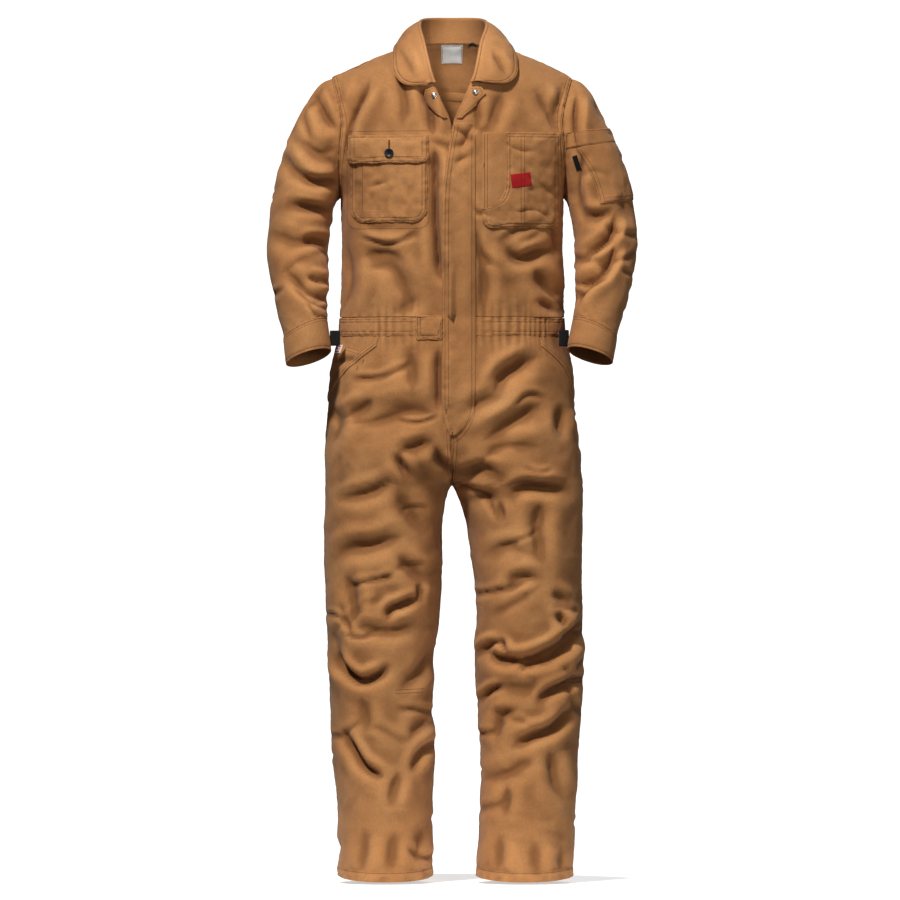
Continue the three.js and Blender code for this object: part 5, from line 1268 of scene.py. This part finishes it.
placket_drop = np.unique(np.concatenate([spread(129, 640, 170, 0.2), np.linspace(640, 679.6, 22)]))
PLACKET_WIDE = 57
placket_a = bordered(18, PLACKET_WIDE)
left_x, right_x = PLACKET_ROWS.read(placket_drop, "left"), PLACKET_ROWS.read(placket_drop, "right")
placket_x = left_x[None] + (right_x - left_x)[None] * placket_a[:, None]
placket = laid(placket_a, placket_drop, placket_x, np.broadcast_to(-placket_drop, placket_x.shape),
               thick=3.0, round_=2.4, swell=0.8, swell_cell=30, smoothing=5)
flush = smooth(0.55, 1.0, placket_a)[:, None] * np.ones_like(placket_x)
groove = sum(np.exp(-((placket_a[:, None] * PLACKET_WIDE - d) / 1.3) ** 2) for d in (4, 10, 52)) * 0.55
across = placket_a[:, None] * PLACKET_WIDE + 0 * placket_x
placket.settle(-1.7 * flush - groove + puckers(across, placket.base, 14, 0.7))
ground.add(placket.points)


# Lapels, turned back beside the opening

LAPELS = ((RIGHT, "right", (49, -88), (45, -70)), (LEFT, "left", (59, -81), (51, -66)))
LAPEL_FROM, LAPEL_TO, LAPEL_CORNER, LAPEL_FOOT_WIDE = 7.12, 8.75, 0.72, 9
lapels = {}
for side, name, corner, tip in LAPELS:
    f = np.concatenate([np.linspace(0, LAPEL_CORNER, 24)[:-1], np.linspace(LAPEL_CORNER, 1, 12)])
    rolled = front_skin(side)(np.full(f.shape, 0.02), LAPEL_FROM + (LAPEL_TO - LAPEL_FROM) * f)[:, [0, 2]]
    path = np.array([(rolled[0, 0] * side + LAPEL_FOOT_WIDE, rolled[0, 1]), corner, tip]) * (side, 1)
    outer = np.stack([np.interp(f, (0, LAPEL_CORNER, 1), path[:, k]) for k in (0, 1)], -1)
    a = bordered(9, 16)
    xz = rolled[None] + (outer - rolled)[None] * a[:, None, None]
    lapel = laid(a, f, xz[..., 0], xz[..., 1], thick=2.4, swell=0.8)
    lapel.settle(1.6 * smooth(0, 1, a)[:, None] * np.ones(len(f)))
    lapels[name] = lapel

# Pockets, flap and tab

def box_patch(left, right, top, foot, round_, **more):
    sides = (edge if callable(edge) else lambda z, edge=edge: edge for edge in (left, right))
    return laid(*patch_grid(*sides, top, foot, round_), **more)


def pen_edge(z):
    return float(PEN_EDGE.read(-z, "x")) if z > -284 else 52.5


pocket_right = box_patch(-177, -44, -159, -305, 24, thick=2.4, swell=2.2, rows=(2.6, 8.4))
pen_pocket = box_patch(52.5, lambda z: pen_edge(z) + 2, -147, -283, 0.5, thick=0.9, swell=0.6)
pocket_left = box_patch(pen_edge, 189, -147, -315, 16, thick=3.0, swell=2.0, rows=(2.6, 8.4))
tab = box_patch(-63, -16.5, -468, -511, 4, thick=2.8, swell=0.6, rows=(3, 8))
ground.add(pocket_right.points, pen_pocket.points, pocket_left.points, tab.points,
           *(lapel.points for lapel in lapels.values()), collar.points[:, 22:])
flap = box_patch(-182, -42, -152, -201, 12, thick=2.8, swell=1.4, rows=(3.0, 10.5))
flap.settle(1.8 * smooth(-175, -201, flap.base[..., 2]))


def tilted(x, z, wide, high, degrees, **more):
    """A small label laid on the front, turned by an angle."""
    level, rise = math.cos(math.radians(degrees)), math.sin(math.radians(degrees))
    a, b = bordered(12, wide), bordered(10, high)
    p, q = np.meshgrid((a - 0.5) * wide, (b - 0.5) * high, indexing="ij")
    return laid(a, b, x + p * level - q * rise, z + p * rise + q * level, **more)


chest_label = tilted(121, -231, 35, 24, 8, thick=0.9, round_=0.8, swell=0.25)
armhole_label = tilted(219, -200, 9, 27, 18, thick=1.0, round_=0.8, swell=0.2)
ground.add(flap.points, chest_label.points, armhole_label.points)

# Slant pocket edges on the legs

HIP_POCKETS = (
    (RIGHT, "right", 0.45, 0.96, 507, 604, 0.0),
    (LEFT, "left", 0.56, 0.96, 507, 600, 0.03),
)
HIP_EDGE = 15


def on_sheet(carrier, a, b, at_a, at_b, thick=1.7, round_=1.8, swell=0.5):
    """A patch on a finished sheet, at the sheet's own parameters."""
    points, normal = carrier.at(at_a, at_b)
    sheet = Sheet(a, b, points, normal)
    away = border_distance(points)
    bulge = swell * smooth(0, 10, away) * (0.6 + 0.8 * noise(points, 16, 13))
    return sheet.settle(thick * rounded(away, round_) + bulge)


hip_edges = {}
for side, name, from_s, to_s, from_drop, to_drop, bow in HIP_POCKETS:
    f, w = bordered(60, 130), bordered(7, HIP_EDGE)
    along_s = from_s + (to_s - from_s) * f + bow * np.sin(math.pi * f)
    at_drop = from_drop + (to_drop - from_drop) * f[:, None] + HIP_EDGE * w
    strip = on_sheet(S["leg_front_" + name], f, w, along_s[:, None] + 0 * at_drop, at_drop,
                     thick=2.0, swell=1.2)
    hip_edges[name] = strip
    ground.add(strip.points)
    for distance in (3, 9):
        sew(f"stitches_{name}_leg", *strip.inset(1, True, distance))

hip_label_a, hip_label_b = bordered(10, 18), bordered(9, 15)
hip_label = on_sheet(S["leg_front_right"], hip_label_a, hip_label_b,
                     *np.meshgrid(0.79 + 0.11 * hip_label_a, 519 + 15 * hip_label_b, indexing="ij"),
                     thick=1.9, round_=0.7, swell=0.2)

# Pocket and band on the left sleeve

arm = S["sleeve_left"]


def ring_at(turns, heights):
    """The ring at which the sleeve passes each height, going round it."""
    rings = np.linspace(0.3, CUFF_RING - 0.3, 120)
    out = np.empty(heights.shape)
    for i, turn_ in enumerate(turns):
        z = sleeve_skin(LEFT)(np.full(120, turn_), rings)[:, 2]
        out[i] = np.interp(-heights[i], -z, rings) - 0.003 * np.arange(heights.shape[1])
    return out


def on_arm(from_turn, to_turn, top, foot, slope, count, **more):
    a, b = bordered(count, 120), bordered(round((top - foot) / 2.4), top - foot)
    turns = from_turn + (to_turn - from_turn) * a
    toward_front = (1 + np.cos(turns * 2 * math.pi)) / 2
    heights = (foot + (top - foot) * b)[None] - slope * toward_front[:, None]
    return on_sheet(arm, a, b, turns[:, None] + 0 * heights, ring_at(turns, heights), **more)


arm_pocket = on_arm(0.24, 0.63, -167, -264, 16, 52, thick=1.7, swell=1.4)
arm_band = on_arm(0.19, 0.64, -139, -163, 18, 56, thick=1.9, swell=0.7)
for sheet, distances in ((arm_pocket, (3, 9)), (arm_band, (3,))):
    for axis, low in ((0, True), (0, False), (1, True)):
        sew_edge("stitches_left_sleeve", sheet, axis, low, distances, 0.03, 0.97)
sew_edge("stitches_left_sleeve", arm_band, 1, False, (3,), 0.03, 0.97)

# Labels and loop inside the back neck

def inside_neck(from_s, to_s, from_t, to_t, count, thick):
    a, b = bordered(count, 25), bordered(count, 25)
    points, normal = yoke.at(*np.meshgrid(from_s + (to_s - from_s) * a, from_t + (to_t - from_t) * b,
                                          indexing="ij"))
    sheet = Sheet(a, b, points - normal * (CLOTH + 0.2), -normal)
    away = border_distance(sheet.base)
    swell = 0.8 * smooth(0, 8, away) * (1 + noise(points, 14, 3))
    return sheet.settle(thick * (0.4 + 0.6 * smooth(0, 1, away)) + swell)


neck_label = inside_neck(-0.066, 0.066, 0.56, 0.96, 16, 0.8)
for axis, low in ((1, False), (0, True), (0, False)):
    sew_edge("stitches_collar", neck_label, axis, low, (1.6,), 0.06, 0.94)

LOOP_PATH = [(28, 49.5, 7), (29.5, 48.4, 10.5), (36, 46.5, 13.6), (42.5, 48.4, 10.5), (44, 49.5, 7)]
loop_path = curved(LOOP_PATH, 8)
loop_wide = np.linspace(-2, 2, 5)
loop_base = loop_path[:, None] + np.array([0, 0.25, 1.0]) * loop_wide[None, :, None]
loop = Sheet(np.linspace(0, 1, len(loop_path)), loop_wide, loop_base,
             np.broadcast_to(np.array([0, -0.97, 0.24]), loop_base.shape))
loop.settle(0.25 * np.cos(loop_wide * 1.5)[None] + np.zeros(loop_base.shape[:2]))

# Hook-and-loop tabs at the cuffs

TAPES = ((RIGHT, "right", 196, 214.3, -494, -521, -74), (LEFT, "left", 187, 205, -493, -522, -81))
tapes = {}
for side, name, inner, outer_x, top_z, foot_z, y in TAPES:
    a, b = bordered(12, 18), bordered(16, 27)
    x = side * (inner + (outer_x - inner) * a)
    corner = np.clip((np.abs(b - 0.5) * 2 - 0.82) / 0.18, 0, 1) ** 2 * 0.12
    grid_x = x[:, None] + (side * (outer_x + inner) / 2 - x[:, None]) * corner[None]
    base = np.stack([grid_x, np.full(grid_x.shape, float(y)) - 2.5 * np.sin(math.pi * a)[:, None],
                     np.broadcast_to(foot_z + (top_z - foot_z) * b, grid_x.shape)], -1)
    tape = Sheet(a, b, base, np.broadcast_to(np.array([0.0, -1, 0]), base.shape))
    nap = 0.25 * noise(base, 1.6, 9) * smooth(1, 2.5, border_distance(base))
    tapes[name] = tape.settle(1.0 * smooth(-0.5, 1.5, border_distance(base)) + nap)

# The laid pieces as shells. Each reaches a little into what it lies on.


def overlay(name, sheet, material="duck", slot="duck", held="laid", sunk=0.7):
    # The laid pieces carry the relief tint raised by 0.12, a little paler all over: painted shade in creases,
    # paler ridges as rubbed wear with a painted highlight.
    piece = shell(name + "_cloth", sheet.points, sheet.base - sheet.normal * sunk, material, sheet.base,
                  relief(sheet) + 0.12)
    declare(piece, [name], sheet.size())


for name, *laid_piece in (
    ("placket", placket),
    ("lapel_right", lapels["right"]),
    ("lapel_left", lapels["left"]),
    ("chest_pocket_right", pocket_right),
    ("chest_flap_right", flap),
    ("chest_pocket_left", pocket_left),
    ("pen_pocket_left", pen_pocket, "duck", "duck_shade"),
    ("waist_tab", tab),
    ("hip_pocket_edge_right", hip_edges["right"]),
    ("hip_pocket_edge_left", hip_edges["left"]),
    ("arm_pocket_left", arm_pocket),
    ("arm_pocket_band_left", arm_band),
    ("chest_label", chest_label, "red_label", "label_red"),
    ("armhole_label", armhole_label, "black_tape", "black_trim"),
    ("hip_label", hip_label, "white_label", "label_white"),
    ("neck_label", neck_label, "white_label", "label_white"),
    ("cuff_tape_right", tapes["right"], "black_tape", "black_trim"),
    ("cuff_tape_left", tapes["left"], "black_tape", "black_trim"),
):
    overlay(name, *laid_piece, held="folded" if "lapel" in name else "laid")
overlay("hanger_loop", loop, "black_tape", "black_trim", "stretched", sunk=0.6)

# Coloured weave on the hip label: a plain canton and stripes, like a small general flag


def on_label(name, sheet, a0, a1, b0, b1, material, lift=0.12):
    a, b = np.meshgrid(np.linspace(a0, a1, 7), np.linspace(b0, b1, 4), indexing="ij")
    points, normal = sheet.at(a, b, lift)
    declare(shell(name, points, points - normal * 0.3, material), [])


for k in range(3):
    on_label(f"hip_label_stripe_{k}", hip_label, 0.08, 0.92, 0.16 + 0.28 * k, 0.28 + 0.28 * k, "red_label")
on_label("hip_label_corner", hip_label, 0.6, 0.92, 0.1, 0.5, "blue_label", 0.2)

# Buttons: turned profiles


TURNED_STEPS = 36


def turned(name, x, z, profile, lift, material):
    """A round piece on the front: radius and height of each ring. Gives back its centre and directions."""
    steps = TURNED_STEPS
    centre, normal = ground.cast(np.array([x]), np.array([z]))
    facing = unit(np.array([normal[0, 0] * 0.5, -1.0, normal[0, 2] * 0.5]))
    side_way = unit(np.cross(facing, (0, 0, 1.0)))
    up_way = np.cross(side_way, facing)
    angles = np.linspace(0, 2 * math.pi, steps, endpoint=False)
    points, faces = [], []
    for r, h in profile:
        for t in angles:
            out = side_way * math.cos(t) + up_way * math.sin(t)
            points.append(centre[0] + facing * (lift + h) + out * r)
    rows = len(profile)
    for i in range(rows - 1):
        for j in range(steps):
            k = (j + 1) % steps
            faces.append((i * steps + j, i * steps + k, (i + 1) * steps + k, (i + 1) * steps + j))
    faces.append(tuple(range(steps))[::-1])
    faces.append(tuple((rows - 1) * steps + j for j in range(steps)))
    piece = make_mesh(name + "_turned", points, faces, material, angle=40)
    declare(piece, [name])
    return centre[0] + facing * lift, facing, side_way, up_way


BUTTON_PROFILE = ((4.0, -0.3), (7.2, 0.2), (8.0, 1.1), (8.0, 1.9), (7.4, 2.6), (6.5, 2.75), (5.6, 2.4),
                  (4.9, 1.9), (0.4, 1.8))
centre, facing, side_way, up_way = turned("flap_button", -110, -184, BUTTON_PROFILE, 0.8, "navy")
holes = [(sx * 1.7, sz * 1.7) for sx in (-1, 1) for sz in (-1, 1)]
# Painted shade: the turned button has no holes cut, so a near-black disc on its face stands in for the shade
# inside each hole.
for k, (p, q) in enumerate(holes):
    at = centre + facing * 1.86 + side_way * p + up_way * q
    ring = [at + (side_way * math.cos(t) + up_way * math.sin(t)) * 0.75 + facing * h
            for h in (-0.3, 0.03) for t in np.linspace(0, 2 * math.pi, 12, endpoint=False)]
    faces = [(j, (j + 1) % 12, 12 + (j + 1) % 12, 12 + j) for j in range(12)]
    faces += [tuple(range(12))[::-1], tuple(range(12, 24))]
    declare(make_mesh(f"button_hole_shade_{k}", ring, faces, "dark"), [])
for p, q in ((holes[0], holes[3]), (holes[1], holes[2])):
    ends = np.array([centre + facing * 1.9 + side_way * h[0] + up_way * h[1] for h in (p, q)])
    bow = np.linspace(0, 1, 7)[:, None]
    line = ends[0] + (ends[1] - ends[0]) * bow + facing * 0.9 * np.sin(math.pi * bow)
    for shift in (-0.35, 0.35):
        sew("stitches_button", line + side_way * shift, np.broadcast_to(facing, line.shape),
            stitch=4.4, pitch=4.7, wide=0.3)

STUD_PROFILE = ((3.6, -0.4), (4.9, 0.1), (5.0, 0.9), (4.6, 1.5), (3.9, 1.65), (3.3, 1.2), (3.0, 0.8),
                (2.2, 0.85), (1.6, 1.25), (0.3, 1.4))
for name, x, z in (("stud_right", -31, -83), ("stud_left", 41, -77)):
    turned(name, x, z, STUD_PROFILE, 0.4, "metal")

# Stitching


def pocket_path(left, right, top, foot, round_, inset):
    """Down one side, round the foot and up the other, inside the edge by an inset."""
    left, right, foot, r = left + inset, right - inset, foot + inset, max(2.0, round_ - inset)
    turn_ = np.linspace(0, math.pi / 2, 8)
    first = [(left + r - r * math.cos(t), foot + r - r * math.sin(t)) for t in turn_]
    second = [(right - r + r * math.sin(t), foot + r - r * math.cos(t)) for t in turn_]
    return [(left, top), *first, *second, (right, top)]


for inset in (2.6, 8.4):
    sew_front("stitches_front", pocket_path(-177, -44, -200, -305, 24, inset))
    sew_front("stitches_front", pocket_path(57, 189, -286, -315, 16, inset)[1:-1] + [(189 - inset, -150)])
for inset in (3.0, 10.5):
    sew_front("stitches_front", pocket_path(-182, -42, -155, -201, 12, inset))
for z in (-145, -156):
    sew_front("stitches_front", [(-184, z), (-40, z)])
sew_front("stitches_front", pocket_path(-190, -34, -160, -322, 24, 6))
sew_front("stitches_front", [(-157, -205), (-157, -289)])
for x in (121, 127):
    sew_front("stitches_front", [(x, -150), (x, -311)])
for inset in (3, 8):
    sew_front("stitches_front", [(pen_edge(z) + inset, z) for z in np.linspace(-150, -283, 26)])
    sew_front("stitches_front", [(96, -147 - inset), (187, -147 - inset)])
    sew_front("stitches_front", pocket_path(-63, -16.5, -470, -511, 4, inset)[:-1] + [(-19, -470 - inset)])
    sew_front("stitches_front", [(54 + inset, -150), (54 + inset, -282)])

stitch_drops = np.linspace(133, 668, 180)
for offset, first, last in ((4, 133, 640), (10, 133, 630)):
    d = stitch_drops[(stitch_drops > first) & (stitch_drops < last)]
    sew_front("stitches_front", np.stack([PLACKET_ROWS.read(d, "left") + offset, -d], -1))
for x in (36, 42):
    sew_front("stitches_front", [(x - 1.5, -150), (x - 1.5, -600), (x - 3, -622)])
sew_front("stitches_front", [(34.5, -622), (32, -640), (24, -659), (12, -673), (1, -680)], smooth_path=True)
sew_front("stitches_front", [(40, -618), (39, -640), (30, -664), (16, -682), (2, -692)], smooth_path=True)
for x, z in ((-10, -636), (0, -676), (-156, -548), (-166, -560), (56, -205), (-158, -204)):
    bartack("stitches_front", x, z)
for x in (-110.7, -109.3):  # buttonhole
    sew_front("stitches_front", [(x, -161), (x, -178)], stitch=1.5, pitch=1.55, wide=0.6, lift=0.4)
sew_front("stitches_front", [(-187, -522), (-161, -530)])
sew_front("stitches_front", [(-186, -528), (-162, -536)])
for z in (-1124, -1130):
    sew_front("stitches_right_leg", [(-100, z), (-47, z + 2)])
    sew_front("stitches_left_leg", [(203, z + 18), (229, z + 20)])

for name, lapel in lapels.items():
    for axis, low in ((0, False), (1, False)):
        sew_edge("stitches_collar", lapel, axis, low, (5.5,), 0.04, 0.94)
for name in ("right", "left"):
    front = S["front_" + name]
    sew_edge("stitches_front", front, 0, False, (3, 9), 0.32, 0.99)
    sew_edge("stitches_back", front, 0, False, (3,), 0.01, 0.31)
    for label in ("front", "back"):
        leg = S[f"leg_{label}_{name}"]
        region = f"stitches_{name}_leg" if label == "front" else f"stitches_{name}_leg_back"
        sew_edge(region, leg, 1, False, (15.5,), 0.01, 0.99)
        sew_edge(region, leg, 0, label == "front", (3, 9), 0.02, 0.985)
    cuff, sleeve = S["cuff_" + name], S["sleeve_" + name]
    sew_edge(f"stitches_{name}_sleeve", cuff, 1, True, (3, 8), 0.01, 0.99)
    sew_edge(f"stitches_{name}_sleeve", cuff, 1, False, (5,), 0.01, 0.99)
    sew_edge(f"stitches_{name}_sleeve", sleeve, 0, False, (3, 9), 0.02, 0.99)
    for low in (True, False):
        sew_edge("stitches_front", S["waistband_front_" + name], 1, low, (3, 8), 0.22, 0.99)
for low in (True, False):
    sew_edge("stitches_back", band_back, 1, low, (3, 8), 0.01, 0.99)
for axis, low in ((0, True), (0, False), (1, True)):
    sew_edge("stitches_back", yoke, axis, low, (3, 9), 0.02, 0.98)
for start, end in ((0.02, 0.3), (0.7, 0.98)):
    sew_edge("stitches_back", yoke, 1, False, (3, 9), start, end)

for region, lines in SEWN.items():
    points = np.concatenate(lines)
    faces = (np.arange(len(points))[:, None, None] * 6 + np.array(STITCH_FACES)).reshape(-1, 3)
    declare(make_mesh(region, points.reshape(-1, 3), faces, "thread", angle=30), [])

# Floor, light and camera

FLOOR_RADIUS, FLOOR_BELOW = 0.38, 0.004
floor_z = CAD_BOX[0][2] - FLOOR_BELOW
floor_mesh = bpy.data.meshes.new("floor")
floor_round = np.linspace(0, 2 * math.pi, 96, endpoint=False)
floor_rim = [(FLOOR_RADIUS * math.cos(t), FLOOR_RADIUS * math.sin(t), floor_z) for t in floor_round]
floor_mesh.from_pydata(floor_rim, [], [tuple(range(96))])
floor = bpy.data.objects.new("floor", floor_mesh)
bpy.context.scene.collection.objects.link(floor)
paper = Nodes("paper")
paper.set(Base_Color=(0.8, 0.8, 0.8, 1), Roughness=0.9, Emission_Color=(1, 1, 1, 1), Emission_Strength=0.45)
floor_mesh.materials.append(paper.material)

scene = bpy.context.scene
scene.view_settings.view_transform = "Standard"
scene.view_settings.look = "Medium High Contrast"
world = bpy.data.worlds.new("studio")
scene.world = world
world.use_nodes = True
tree = world.node_tree
soft_light = tree.nodes["Background"]
soft_light.inputs["Color"].default_value = (1.0, 0.985, 0.965, 1)
soft_light.inputs["Strength"].default_value = 0.1
behind = tree.nodes.new("ShaderNodeBackground")
behind.inputs["Color"].default_value = (1, 1, 1, 1)
behind.inputs["Strength"].default_value = 1.0
choose = tree.nodes.new("ShaderNodeMixShader")
seen = tree.nodes.new("ShaderNodeLightPath")
tree.links.new(seen.outputs["Is Camera Ray"], choose.inputs[0])
tree.links.new(soft_light.outputs[0], choose.inputs[1])
tree.links.new(behind.outputs[0], choose.inputs[2])
tree.links.new(choose.outputs[0], tree.nodes["World Output"].inputs["Surface"])


def lamp(name, kind, place, aim, power, **settings):
    """A light at a place, turned to an aim."""
    data = bpy.data.lights.new(name, kind)
    data.energy = power
    for key, value in settings.items():
        setattr(data, key, value)
    light = bpy.data.objects.new(name, data)
    scene.collection.objects.link(light)
    light.location = place
    light.rotation_euler = (Vector(aim) - Vector(place)).to_track_quat("-Z", "Y").to_euler()


lamp("key", "AREA", (-2.4, -5.5, 6.3), (0, 0, -0.7), 655, size=0.9, color=(1.0, 0.98, 0.96))
lamp("fill", "AREA", (2.4, -4.6, 0.3), (0, 0, -0.6), 44, size=1.6, color=(1.0, 0.99, 0.98))
lamp("back", "AREA", (0.6, 3.0, 1.2), (0, 0, -0.6), 30, size=1.6)
lamp("neck", "SPOT", (0.0, -2.6, 0.2), (0.0, 0.09, -0.02), 230, spot_size=math.radians(3.4), spot_blend=1.0,
     shadow_soft_size=0.06)

camera_data = bpy.data.cameras.new("camera")
camera_data.sensor_width, camera_data.lens = 36.0, 409.0
camera_data.clip_end = 60
camera = bpy.data.objects.new("camera", camera_data)
scene.collection.objects.link(camera)
camera.location = (-0.0035, -18.0, -0.7035)
camera.rotation_euler = (math.radians(90), 0, 0)
scene.camera = camera
